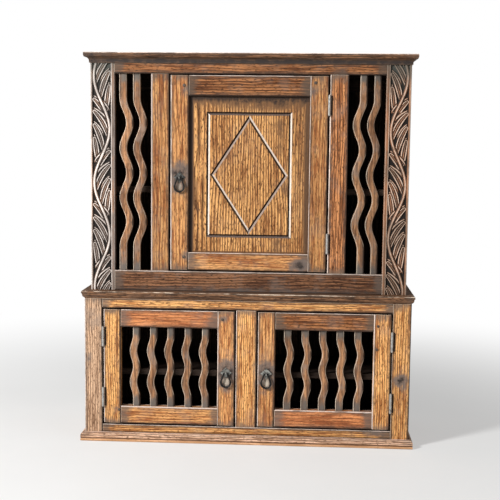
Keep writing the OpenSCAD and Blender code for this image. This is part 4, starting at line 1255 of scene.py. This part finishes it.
# %% [markdown]
# ## Wavy splats
#
# A splat is a flat lath sawn along a wave, so its sides swing together and it keeps its
# width when it is measured level. That rule needs no curve: a fine box is moved sideways by
# a cosine of its height. Beyond the last wave the height is held, which gives the straight
# ends that enter the rails. The box's long corners are drawn in a little, as hands and
# brushes have worn them, and each lath is a shade wider or narrower than its neighbour.

# %% The splat tree
CORNER_REACH = 0.0002


def splat_tree():
    g = Growth("wavy_splats", {
        "Count": ("Int", 2), "Pitch": ("Float", 0.03), "Middle": ("Vector", None),
        "Width": ("Float", 0.018), "Thickness": ("Float", 0.011), "Length": ("Float", 0.5),
        "Swing": ("Float", 0.008), "Wave": ("Float", 0.117), "Waves": ("Float", 3.0),
        "Worn": ("Float", 0.001), "Seed": ("Int", 1), "Finish": ("Material", None)})
    size = g.node("ShaderNodeCombineXYZ", None,
        {0: g["Width"], 1: g["Thickness"], 2: g["Length"]})
    lath = g.node("GeometryNodeMeshCube", None,
        {"Size": size, "Vertices X": 7, "Vertices Y": 5, "Vertices Z": 190})
    place = g.node("GeometryNodeInputPosition")
    parts = g.node("ShaderNodeSeparateXYZ", None, {0: place}).node.outputs
    half = g.maths("MULTIPLY", g["Waves"], 0.5)
    turn = g.maths("DIVIDE", parts[2], g["Wave"])
    held = g.maths("MAXIMUM", g.maths("MINIMUM", turn, half),
        g.maths("MULTIPLY", half, -1.0))
    wave = g.maths("COSINE", g.maths("MULTIPLY", held, 2 * math.pi))
    swing = g.maths("MULTIPLY", wave, g["Swing"])

    def at_side(part, whole):
        reach = g.maths("SUBTRACT", g.maths("MULTIPLY", whole, 0.5), CORNER_REACH)
        return g.maths("GREATER_THAN", g.maths("ABSOLUTE", part), reach)

    corner = g.maths("MULTIPLY", at_side(parts[0], g["Width"]),
        at_side(parts[1], g["Thickness"]))
    wobble = g.node("ShaderNodeTexNoise", None, {"Scale": 45.0, "Detail": 2.0})
    bite = g.maths("MULTIPLY", g.maths("MULTIPLY", corner, g["Worn"]),
        g.maths("ADD", wobble, 0.4))
    inwards_x = g.maths("MULTIPLY", g.maths("SIGN", parts[0]), bite)
    inwards_y = g.maths("MULTIPLY", g.maths("SIGN", parts[1]), bite)
    shift = g.node("ShaderNodeCombineXYZ", None, {
        0: g.maths("SUBTRACT", swing, inwards_x), 1: g.maths("MULTIPLY", inwards_y, -1.0)})
    lath = g.node("GeometryNodeStoreNamedAttribute", {"data_type": "FLOAT"},
        {0: lath, "Name": "rub", "Value": corner})
    lath = g.node("GeometryNodeSetPosition", None, {0: lath, "Offset": shift})
    lath = g.node("GeometryNodeSetShadeSmooth", None, {0: lath})

    row = g.maths("MULTIPLY", g.maths("SUBTRACT", g["Count"], 1.0), g["Pitch"])
    back = g.node("ShaderNodeCombineXYZ", None, {0: g.maths("MULTIPLY", row, -0.5)})
    step = g.node("ShaderNodeCombineXYZ", None, {0: g["Pitch"]})
    line = g.node("GeometryNodeMeshLine", {"mode": "OFFSET"}, {
        "Count": g["Count"], "Start Location": g.vectors("ADD", g["Middle"], back),
        "Offset": step})
    wider = g.node("FunctionNodeRandomValue", {"data_type": "FLOAT"},
        {2: 0.94, 3: 1.0, "Seed": g["Seed"]}, out=1)
    scale = g.node("ShaderNodeCombineXYZ", None, {0: wider, 1: 1.0, 2: 1.0})
    laths = g.node("GeometryNodeInstanceOnPoints", None,
        {"Points": line, "Instance": lath, "Scale": scale})
    g.solid(laths, g["Finish"])
    return g.tree


SPLATS = splat_tree()
print("splat tree has", len(SPLATS.nodes), "nodes")

# %% The splats of both stages
UPPER_WAVE = {"Count": 2, "Pitch": 0.0325, "Thickness": 0.011, "Wave": 0.117, "Waves": 3.0}
DOOR_WAVE = {"Count": 5, "Pitch": 0.0415, "Thickness": 0.009, "Wave": 0.076, "Waves": 2.0}
UPPER_SWING, DOOR_SWING = 0.008, 0.004
FOOT_DIRT, DIRT_FADES = 0.25, 0.05


def splats(node, body, wave, swing, seed, tone=0.0):
    """A row of splats that stands for a node, with dirt at its foot."""
    low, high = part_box(node)
    settings = {**wave, "Length": high.z - low.z, "Middle": (low + high) / 2,
        "Swing": swing, "Seed": seed, "Finish": FINISH["oak_splat"]}
    mesh = grow("worn_" + node, SPLATS, bpy.data.meshes.new("empty"), settings)
    above = points_of(mesh)[:, 2] - low.z
    carry(mesh, "soil_and_shade", FOOT_DIRT * np.exp(-above / DIRT_FADES))
    give_grain(mesh, 2, 8, (26, 40), tone, seed)
    return show("worn_" + node, mesh, body, "oak_splat", node)


made = [
    splats("upper_splats_left", "root", UPPER_WAVE, UPPER_SWING, 3),
    splats("upper_splats_right", "root", UPPER_WAVE, -UPPER_SWING, 4, tone=-0.25),
    splats("left_door_splats", "left_door", DOOR_WAVE, DOOR_SWING, 5),
    splats("right_door_splats", "right_door", DOOR_WAVE, -DOOR_SWING, 6),
]
print("splat pieces", [(o.name, len(o.data.polygons)) for o in made])

# %% [markdown]
# ## The carved stiles
#
# A winding stem with a single ridge climbs each corner stile. Long ribbed leaves lie in its
# bends, small plain ones fill the gaps between their tips, and the foliage runs off at both
# ends without a border. The carver lowers the ground first, then rounds the forms and runs
# a narrow gouge along each leaf, so the top is still the board's own face. That is a height
# over the face at every point, so numpy can work it out on a fine grid: the height is the
# highest of the stem, the leaves and the ground. Sides and back close the grid to a board.
#
# crest is 1 on each ridge and -1 in each hollow. The finish paints the ridges pale, as
# rubbed wood and as a painted highlight, and the hollows dark, as old wax and painted
# shade.
# All sizes are in millimetres.

# %% The rules of the carving
FACE_Y, STILE_BACK_Y = (corner.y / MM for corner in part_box("carved_stile_left"))
STEM_TURN, STEM_W = 250.0, 7.8
LEAVES, LEAF_L, LEAF_W = 4, 64.0, 14.5
SMALL_L, SMALL_W, SMALL_OVERLAP = 34, 7, 26
GROUND, OUTLINE = 3.8, 3.4
INNER_BORDER, OUTER_BORDER, RUN_OFF = 8.2, 4.4, 9


def stile_sizes(node):
    """A stile's inner and outer side, from the cabinet's middle, and its foot and top."""
    low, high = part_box(node)
    inner, outer = min(abs(low.x), abs(high.x)) / MM, max(abs(low.x), abs(high.x)) / MM
    return inner, outer, low.z / MM, high.z / MM


def stem_place(z, middle, swing, bend_z):
    return middle + swing * np.cos(2 * np.pi * (z - bend_z) / STEM_TURN)


def ridge(share, place, width):
    """1 on a ridge at place, on both sides of the middle, and 0 beyond its half width."""
    near = np.clip(1 - np.abs(np.abs(share) - place) / width, 0, 1)
    return near * near * (3 - 2 * near)


def leaf_shape(x, z, foot, tip_x, stem_x, long, wide):
    """How far across and along one leaf each point lies; across is over 1 outside it."""
    t = np.linspace(0, 1, 60)
    path_x = stem_x + (tip_x - stem_x) * (0.35 * t + 0.65 * t * t)
    path_z = foot + long * (1.12 * t - 0.12 * t * t)
    half = wide / 2 * (0.25 + 0.75 * np.sin(np.pi * (0.06 + 0.78 * t)))
    gap = (x[..., None] - path_x) ** 2 + (z[..., None] - path_z) ** 2
    nearest = gap.argmin(-1)
    run_x, run_z = np.gradient(path_x)[nearest], np.gradient(path_z)[nearest]
    side = (x - path_x[nearest]) * run_z - (z - path_z[nearest]) * run_x
    reach = np.sqrt(np.take_along_axis(gap, nearest[..., None], -1)[..., 0])
    return reach / half[nearest] * np.sign(side), t[nearest]


def cut_form(height, crest, share, outline, edge, sunk, surface, rubbed):
    """Cuts a form where share is under edge, and sinks its outline where under outline."""
    beside, within = np.abs(share) < outline, np.abs(share) < edge
    height[:] = np.where(beside, sunk, height)
    crest[:] = np.where(beside, -1.0, crest)
    height[:] = np.where(within, surface, height)
    crest[:] = np.where(within, rubbed, crest)


def cut_leaf(height, crest, across, along, tilt, ribbed):
    """Cuts one leaf. A ribbed leaf has two raised rims and a rib between hollows, and a
    plain one is a single ridge."""
    if ribbed:
        raised = np.maximum(ridge(across, 0.70, 0.34), ridge(across, 0.0, 0.26) * 0.72)
    else:
        raised = ridge(across, 0.0, 0.95) * 0.85
    raised = raised * np.clip(along * 6 + 0.2, 0, 1)
    leaf = -2.3 + 2.1 * raised - tilt * across - 0.5 * (1 - along) ** 2
    sunk = np.minimum(height, -OUTLINE)
    cut_form(height, crest, across, 1.2, 1.0, sunk, leaf, raised * 1.9 - 0.9)


print("carving:", LEAVES, "leaves in each bend of", STEM_TURN / 2, "mm")

# %% Leaves and stem
TIP_INSET = 4.6
LEAF_SETBACK = 8
BAND = 16


def carve_leaves(height, crest, x, z, run, rng):
    """Carves from the top down, so that each leaf lies over the foot of the one above it.
    A small leaf fills the gap between each two tips."""
    bend = STEM_TURN / 2
    pitch = bend / LEAVES
    first = -math.ceil((run.bend_z - run.bottom) / bend) - 1
    last = math.ceil((run.top - run.bend_z) / bend)
    for k in range(last, first - 1, -1):
        tip_x = run.left + TIP_INSET if k % 2 == 0 else run.right - TIP_INSET
        for i in reversed(range(LEAVES)):
            foot = run.bend_z + k * bend + (i - LEAVES / 2) * pitch - LEAF_L / 2
            foot = foot + LEAF_SETBACK + rng.uniform(-2.0, 2.0)
            tilt = rng.uniform(0.1, 0.5)
            stem_x = stem_place(foot, run.middle, run.swing, run.bend_z)
            small_foot = foot + LEAF_L - SMALL_OVERLAP
            pair = ((small_foot, SMALL_L, SMALL_W), (foot, LEAF_L, LEAF_W))
            for start, long, wide in pair:
                near = (z[:, 0] > start - BAND) & (z[:, 0] < start + long + BAND)
                rows = np.nonzero(near)[0]
                if len(rows):
                    part = slice(rows[0], rows[-1] + 1)
                    across, along = leaf_shape(x[part], z[part], start, tip_x, stem_x, long,
                        wide)
                    cut_leaf(height[part], crest[part], across, along, tilt, wide == LEAF_W)


def carve_stem(height, crest, x, z, run, stem_crest):
    """Carves the stem over the leaves' feet. stem_crest is how pale its ridge is painted,
    partly as rub and partly as a painted highlight.
    """
    away = x - stem_place(z, run.middle, run.swing, run.bend_z)
    turned = 2 * np.pi * (z - run.bend_z) / STEM_TURN
    lean = run.swing * 2 * np.pi / STEM_TURN * np.sin(turned)
    share = away / np.hypot(1, lean) / (STEM_W / 2)
    raised = ridge(share, 0.0, 1.15)
    cut_form(height, crest, share, 1.35, 1.05, -OUTLINE, -1.9 + 1.85 * raised,
        raised * (0.9 + stem_crest) - 0.9)


print("each leaf is", LEAF_L, "by", LEAF_W, "mm")

# %% Working out the relief
CARVING_SEED = 12
WALL_STEEPNESS = 3.0
INNER_BRINK, OUTER_BRINK = 0.85, 0.15


def relief(x, z, inner, outer, z_low, z_top, stem_crest):
    """Height over the face at each point, with x from the cabinet's middle outwards, and
    crest: 1 on a ridge painted pale as rub and highlight, -1 in a hollow painted black as
    wax and shade, and 0 on the plain border."""
    left, right = inner + INNER_BORDER, outer - OUTER_BORDER
    run = SimpleNamespace(left=left, right=right, bottom=z_low - RUN_OFF, top=z_top,
        middle=(left + right) / 2, swing=(right - left - STEM_W) / 2,
        bend_z=(z_low + z_top) / 2 - 12)
    rng = np.random.default_rng(CARVING_SEED)
    height = -GROUND + rng.normal(size=x.shape) * 0.12
    crest = np.full(x.shape, -1.0)
    carve_leaves(height, crest, x, z, run, rng)
    carve_stem(height, crest, x, z, run, stem_crest)
    wall = np.minimum.reduce([x - left, right - x, z - run.bottom, run.top - z])
    # The walls of the sunk ground lean, as a chisel leaves them, and are painted dark as
    # wax and shade; their brink is rubbed
    leaning = (wall > 0) & (height < -wall * WALL_STEEPNESS)
    height = np.where(wall > 0, np.maximum(height, -wall * WALL_STEEPNESS), 0.0)
    crest = np.where(leaning, -0.6, crest)
    brink = ridge(wall, 0.8, 1.3) * np.where(x > run.middle, OUTER_BRINK, INNER_BRINK)
    arris = ridge(outer - x, 1.5, 1.9) * 0.42
    return height, np.where(wall > 0, crest, np.maximum(brink, arris))


print("deepest ground", -GROUND, "mm below the face")

# %% Closing the grid to a board
SHOULDER = 1.6


def soften(field):
    """Averages each inner point a little with its four neighbours."""
    field[1:-1, 1:-1] = (field[1:-1, 1:-1] * 4 + field[:-2, 1:-1] + field[2:, 1:-1]
        + field[1:-1, :-2] + field[1:-1, 2:]) / 8


def rim_of(rows, columns):
    """The numbers of the grid's outer points, in order round it."""
    loop = list(range(columns))
    loop += [r * columns + columns - 1 for r in range(1, rows)]
    loop += [(rows - 1) * columns + c for c in range(columns - 2, -1, -1)]
    return loop + [r * columns for r in range(rows - 2, 0, -1)]


def closed_board(name, front, rows, columns):
    """A mesh whose front is a grid of points, with plain sides and a plain back."""
    loop = rim_of(rows, columns)
    # A row just behind the front keeps the arris's wear off the plain sides
    shoulder, back = front[loop].copy(), front[loop].copy()
    shoulder[:, 1] += SHOULDER
    back[:, 1] = STILE_BACK_Y
    points = np.concatenate([front, shoulder, back]) * MM
    first, count = rows * columns, len(loop)
    faces = [(r * columns + c, r * columns + c + 1, (r + 1) * columns + c + 1,
        (r + 1) * columns + c) for r in range(rows - 1) for c in range(columns - 1)]
    after = [(i + 1) % count for i in range(count)]
    last = first + count
    faces += [(loop[i], first + i, first + j, loop[j]) for i, j in enumerate(after)]
    faces += [(first + i, last + i, last + j, first + j) for i, j in enumerate(after)]
    faces.append(tuple(last + i for i in range(count)))
    mesh = bpy.data.meshes.new(name)
    mesh.from_pydata(points.tolist(), [], faces)
    shape = bmesh.new()
    shape.from_mesh(mesh)
    bmesh.ops.recalc_face_normals(shape, faces=shape.faces)
    for face in shape.faces:
        face.smooth = True
    for edge in shape.edges:
        edge.smooth = min(v.index for v in edge.verts) < last
    shape.to_mesh(mesh)
    shape.free()
    return mesh, points


print("the rim of a grid of 3 by 4 points", rim_of(3, 4))

# %% Building the carved stiles
GRID_PITCH = 0.7
ROUNDED, RUBBED = 1.8, 1.4
LID_SHADE = 0.038


def carved_stile(node, side, seed, finish, stem_crest):
    """The carved board that stands for a node; side is -1 at the left, 1 at the right."""
    inner, outer, z_low, z_high = stile_sizes(node)
    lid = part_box("cornice_front")[0].z / MM
    xs = np.linspace(inner, outer, round((outer - inner) / GRID_PITCH) + 1)
    zs = np.linspace(z_low, z_high, round((z_high - z_low) / GRID_PITCH) + 1)
    x, z = np.meshgrid(xs, zs)
    depth, crest = relief(x, z, inner, outer, z_low, lid, stem_crest)
    soften(depth)
    soften(crest)
    # The outer arrises are rounded off and nicked
    rim = np.minimum(x - inner, outer - x)
    dents = np.random.default_rng(seed).random(len(zs))
    dents = np.convolve(dents, np.ones(9) / 9, "same")[:, None]
    nicks = 0.7 + 2.2 * np.clip(dents - 0.45, 0, 1)
    depth = depth - np.clip(1 - rim / ROUNDED, 0, 1) ** 2 * nicks
    front = np.stack([side * x, FACE_Y - depth, z], -1).reshape(-1, 3)
    wanders = np.array([tuple(drift(Vector(p) * MM)) for p in front]) / MM
    front = front + wanders * (rim.reshape(-1, 1) > 0.1)
    mesh, points = closed_board("worn_" + node, front, *x.shape)
    fields = {"crest": crest, "relief": depth, "rub": np.where(rim < RUBBED, 1.0, 0.0)}
    for name, values in fields.items():
        plain = np.zeros(len(points) - values.size)
        carry(mesh, name, np.concatenate([values.ravel(), plain]))
    # The top, under the cornice, is darkened as dust and painted shade
    below_lid = (lid * MM - points[:, 2]).clip(0, 1)
    carry(mesh, "soil_and_shade", np.exp(-(below_lid / LID_SHADE) ** 2))
    give_grain(mesh, 2, 0, (60, 40), 0.0, seed, np.zeros(len(points), int))
    return show("worn_" + node, mesh, "root", finish, node)


print("points of the grid stand", GRID_PITCH, "mm apart")

# %% [markdown]
# ## The finish of the carving
#
# The ground and the gouges are painted nearly black, as old wax and as their shade, the
# deeper the darker, while the ridges are painted bare, greyish wood, partly as rub and
# partly as a painted highlight. The relief and the crest that each point carries tell the
# finish which is which. The right stile is the warmer one, and its ridges are painted less
# pale. Both are darkened under the cornice, with dust and painted shade.

# %% Carved oak
CARVED_VEIN = (0.05, 0.036, 0.028)
OLD_WAX_AND_SHADE, GROUND_WAX_AND_SHADE = (0.022, 0.017, 0.015), (0.012, 0.01, 0.009)
CORNICE_DUST_AND_SHADE = (0.085, 0.09, 0.078)


def carved_oak(name, wood, warm, crest_pale_and_lit):
    p = Paint(name)
    grain = p.read("grain", "Vector")
    crest = p.read("crest")
    fibre = p.drawn_out(p.split(grain), 0.06, 360, 3.0, 0.6)
    spots = p.noise(grain, 95, 4.0, 0.6)
    warmth = p.noise(grain, 15, 3.0, 0.6)
    # bare paints the ridges pale, as rub and painted highlight
    bare = (crest * (spots * 1.3 + 0.35)).rise(0.05, 0.55)
    bare = bare * (warmth.rise(0.40, 0.60) * 0.5 + 0.5)
    worn = (p.read("rub") * (spots * 1.3 + 0.2)).rise(0.4, 0.7)
    colour = p.coats(wood, (warm, warmth.rise(0.44, 0.62)),
        (CARVED_VEIN, fibre.rise(0.46, 0.66) * 0.7),
        (OLD_WAX_AND_SHADE, crest.rise(-0.05, -0.85) * 0.9),
        (GROUND_WAX_AND_SHADE, p.read("relief").rise(-2.4, -3.2) * 0.9),
        (crest_pale_and_lit, bare * 0.92), (crest_pale_and_lit, worn * 0.5),
        (CORNICE_DUST_AND_SHADE, p.read("soil_and_shade") * 0.62))
    height = fibre * 0.3 + spots * 0.4
    return p.finish(colour, 0.62 - bare * 0.15, p.bump(height, 0.45, 0.0005),
        Specular_IOR_Level=0.15)


FINISH["oak_carved"] = carved_oak("oak_carved", (0.22, 0.165, 0.135), (0.32, 0.185, 0.12),
    (0.88, 0.81, 0.75))
FINISH["oak_carved_warm"] = carved_oak("oak_carved_warm", (0.20, 0.11, 0.065),
    (0.36, 0.16, 0.08), (0.68, 0.53, 0.42))
left_stile = carved_stile("carved_stile_left", -1, 21, "oak_carved", 1.0)
right_stile = carved_stile("carved_stile_right", 1, 22, "oak_carved_warm", 0.5)
print("carved stiles", len(left_stile.data.polygons), "faces each")

# %% [markdown]
# ## Pegs and nails
#
# Oak frames are pinned with pegs through the tenons, and their heads stand a hair proud
# and dark with wax. The backs are nailed. Both are small domed heads at given points, each
# turned and sized a little differently, so one tree makes them all. Its input is a mesh of
# loose points, each of which carries the direction that its head faces.

# %% Heads on points
HEAD_SIZES = (0.85, 1.12)


def placed(g, head):
    """Ends a tree: the head on every loose point, faced along aim and turned by chance."""
    aim = g.node("GeometryNodeInputNamedAttribute", {"data_type": "FLOAT_VECTOR"},
        {"Name": "aim"})
    twist = g.node("FunctionNodeRandomValue", {"data_type": "FLOAT"},
        {2: 0.0, 3: 6.28, "Seed": g["Seed"]}, out=1)
    spin = g.node("FunctionNodeAxisAngleToRotation", None,
        {"Axis": (0, 0, 1), "Angle": twist})
    face = g.node("FunctionNodeAlignRotationToVector", {"axis": "Z"},
        {"Rotation": spin, "Vector": aim})
    size = g.node("FunctionNodeRandomValue", {"data_type": "FLOAT"},
        {2: HEAD_SIZES[0], 3: HEAD_SIZES[1], "Seed": g["Seed"]}, out=1)
    heads = g.node("GeometryNodeInstanceOnPoints", None, {"Points": g["Geometry"],
        "Instance": head, "Rotation": face, "Scale": size})
    g.solid(heads, g["Finish"])
    return g.tree


def start_points(name, spots):
    """A mesh of loose points. spots: (x, y, z, direction) in millimetres, where direction
    is the face's normal."""
    start = bpy.data.meshes.new(name + "_points")
    start.from_pydata([tuple(c * MM for c in s[:3]) for s in spots], [], [])
    carry(start, "aim", np.array([s[3] for s in spots], float))
    return start


print("heads from", HEAD_SIZES[0], "to", HEAD_SIZES[1], "of their size")

# %% The domed head
HEAD_DEPTH, HEAD_SUNK = 0.002, 0.0008


def head_tree():
    g = Growth("domed_heads", {
        "Radius": ("Float", 0.004), "Rise": ("Float", 0.0006), "Sides": ("Int", 12),
        "Seed": ("Int", 1), "Finish": ("Material", None)})
    disc = g.node("GeometryNodeMeshCylinder", {"fill_type": "TRIANGLE_FAN"},
        {"Vertices": g["Sides"], "Side Segments": 1, "Fill Segments": 3,
            "Radius": g["Radius"], "Depth": HEAD_DEPTH})
    place = g.node("GeometryNodeInputPosition")
    parts = g.node("ShaderNodeSeparateXYZ", None, {0: place}).node.outputs
    flat = g.node("ShaderNodeCombineXYZ", None, {0: parts[0], 1: parts[1]})
    reach = g.maths("DIVIDE", g.node("ShaderNodeVectorMath", {"operation": "LENGTH"},
        {0: flat}, out=1), g["Radius"])
    dome = g.maths("MULTIPLY", g.maths("SUBTRACT", 1.0, g.maths("POWER", reach, 2.0)),
        g["Rise"])
    top = g.maths("GREATER_THAN", parts[2], 0.0)
    lift = g.maths("SUBTRACT", g.maths("MULTIPLY", top, dome), HEAD_SUNK)
    head = g.node("GeometryNodeSetPosition", None,
        {0: disc, "Offset": g.node("ShaderNodeCombineXYZ", None, {2: lift})})
    head = g.node("GeometryNodeSetShadeSmooth", None, {0: head})
    return placed(g, head)


def heads(name, body, spots, finish, radius, rise, sides, seed):
    """A piece of domed heads, each a number of sides round; radius and rise in mm."""
    mesh = grow(name, HEADS, start_points(name, spots), {"Radius": radius * MM,
        "Rise": rise * MM, "Sides": sides, "Seed": seed, "Finish": FINISH[finish]})
    return show(name, mesh, body, finish)


HEADS = head_tree()
print("head tree has", len(HEADS.nodes), "nodes")

# %% [markdown]
# ## The pegs' and nails' finishes and places
#
# A peg is end grain, which drinks wax and goes darker than the board around it. The pegs
# sit in the stiles, over the tenons' middles.

# %% Pegs
def peg_wood(name):
    p = Paint(name)
    place = p.node("ShaderNodeTexCoord", out="Object")
    spots = p.noise(place, 500, 3.0, 0.6)
    colour = p.mix((0.045, 0.03, 0.022), (0.13, 0.085, 0.055), spots.rise(0.4, 0.7))
    return p.finish(colour, 0.55, p.bump(spots, 0.4, 0.0004))


FINISH["peg"] = peg_wood("peg")
OUT = (0, -1, 0)
BASE_Y, UPPER_Y = -130.3, -110.3
PEG_HEAD = (3.6, 0.5, 11)
PEGS = {
    "upper_door": [(-153, UPPER_Y, 850, OUT), (-152, UPPER_Y, 446, OUT),
        (154, UPPER_Y, 858, OUT)],
    "left_door": [(-57, BASE_Y, 300, OUT), (-305, BASE_Y, 76, OUT)],
    "right_door": [(310, BASE_Y, 292, OUT), (308, BASE_Y, 236, OUT)],
}
for number, (body, spots) in enumerate(PEGS.items()):
    made = heads("pegs_" + body, body, spots, "peg", *PEG_HEAD, number)
    print(made.name, len(spots), "pegs")

# %% Nails in the backs
BACK_Y = cad_high.y / MM
AWAY = (0, 1, 0)
BACK_BOARDS = 6
NAIL_ROWS = {"base_back_boards": (24, 165, 332), "upper_back_boards": (378, 610, 898)}
NAIL_PLACES = (-0.3, 0.3)
NAIL_DEPTH = 1.25
NAIL_HEAD = (3.0, 0.9, 8)
nails = []
for node, rows in NAIL_ROWS.items():
    low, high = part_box(node)
    pitch = (high.x - low.x) / MM / BACK_BOARDS
    for board in range(BACK_BOARDS):
        middle = low.x / MM + pitch * (board + 0.5)
        for row in rows:
            lean = 4 if (board + row) % 2 else -3
            for place in NAIL_PLACES:
                x, z = middle + place * pitch, row + lean * place
                nails.append((x, BACK_Y - NAIL_DEPTH, z, AWAY))
made = heads("back_nails", "root", nails, "iron", *NAIL_HEAD, 9)
print(made.name, len(nails), "nails")

# %% [markdown]
# ## Screws in the hinge leaves
#
# Each leaf is held by three screws with slotted heads, set in a zigzag so that they don't
# split the oak along one grain line. They lie flush, because the leaves close to a fifth of
# a millimetre. The slot is a thin bar that carries a mark, which the steel's finish paints
# black, as the slot's shade. The doors have to be open for them to be seen.

# %% The screw tree
SCREW_DEPTH = 0.0006
SLOT_LENGTH = 1.84
SLOT_PROUD = 0.00002


def screw_tree():
    g = Growth("slotted_screws", {
        "Radius": ("Float", 0.0022), "Proud": ("Float", 0.00006), "Slot": ("Float", 0.0006),
        "Sides": ("Int", 20), "Seed": ("Int", 1), "Finish": ("Material", None)})

    def lifted(part, height):
        up = g.node("ShaderNodeCombineXYZ", None, {2: height})
        return g.node("GeometryNodeTransform", None, {"Geometry": part, "Translation": up})

    disc = g.node("GeometryNodeMeshCylinder", {"fill_type": "NGON"},
        {"Vertices": g["Sides"], "Radius": g["Radius"], "Depth": SCREW_DEPTH})
    disc = lifted(disc, g.maths("SUBTRACT", g["Proud"], SCREW_DEPTH / 2))
    size = g.node("ShaderNodeCombineXYZ", None,
        {0: g.maths("MULTIPLY", g["Radius"], SLOT_LENGTH), 1: g["Slot"], 2: SCREW_DEPTH})
    bar = g.node("GeometryNodeMeshCube", None, {"Size": size})
    bar = lifted(bar, g.maths("ADD", g["Proud"], SLOT_PROUD - SCREW_DEPTH / 2))
    bar = g.node("GeometryNodeStoreNamedAttribute", {"data_type": "FLOAT"},
        {0: bar, "Name": "slot", "Value": 1.0})
    both = g.node("GeometryNodeJoinGeometry")
    g.tree.links.new(disc, both.node.inputs[0])
    g.tree.links.new(bar, both.node.inputs[0])
    return placed(g, both)


SCREWS = screw_tree()
print("screw tree has", len(SCREWS.nodes), "nodes")

# %% The hinges' screws
# Millimetres above the hinge's middle, and behind the pin's axis
ZIGZAG = ((-15, 14.6), (0, 9.2), (15, 14.6))
LEAF_GAP = 0.1
FIRST_SEED = 40
screw_spots = {"root": []}
for door, pins in HINGE_PINS.items():
    screw_spots[door] = []
    for x, y, bottom, top in pins:
        away = 1 if x > 0 else -1
        for offset, back in ZIGZAG:
            z, depth = (bottom + top) / 2 / MM + offset, y / MM + back
            for body, side in (("root", away), (door, -away)):
                place = x / MM + side * LEAF_GAP
                screw_spots[body].append((place, depth, z, (-side, 0, 0)))
for number, (body, spots) in enumerate(screw_spots.items()):
    name = "hinge_screws_" + body
    mesh = grow(name, SCREWS, start_points(name, spots),
        {"Seed": FIRST_SEED + number, "Finish": FINISH["screw_steel"]})
    made = show(name, mesh, body, "screw_steel")
    print(made.name, len(spots), "screws")

# %% [markdown]
# ## Finishes for the solids that stay
#
# The rings, plates and hinges are the frame's own solids: their shape is already right, so
# they only take a finish. A node's object has one material slot to fill.

# %% Iron and steel nodes
def metal_of(node):
    """The finish of one of the frame's metal nodes, or None for a board."""
    if node == "upper_door_pull_plate":
        return "iron_plate_dark"
    if "pull" in node:
        return "iron_plate" if "plate" in node else "iron"
    if "hinge_leaves" in node or node in ("hinge_frame_leaves", "hinge_pins"):
        return "hinge_steel"
    return None


METAL = {node: metal_of(node) for node in frame["nodes"] if metal_of(node)}
for node, finish in METAL.items():
    piece = frame["nodes"][node]
    piece.data.materials.clear()
    piece.data.materials.append(FINISH[finish])
print("metal nodes", len(METAL))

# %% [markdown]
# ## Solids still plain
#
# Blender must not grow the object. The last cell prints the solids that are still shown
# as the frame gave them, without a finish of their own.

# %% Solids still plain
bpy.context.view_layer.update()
left_over = [n for n, o in frame["nodes"].items() if not o.hide_render and n not in METAL]
print("solids still plain:", left_over)
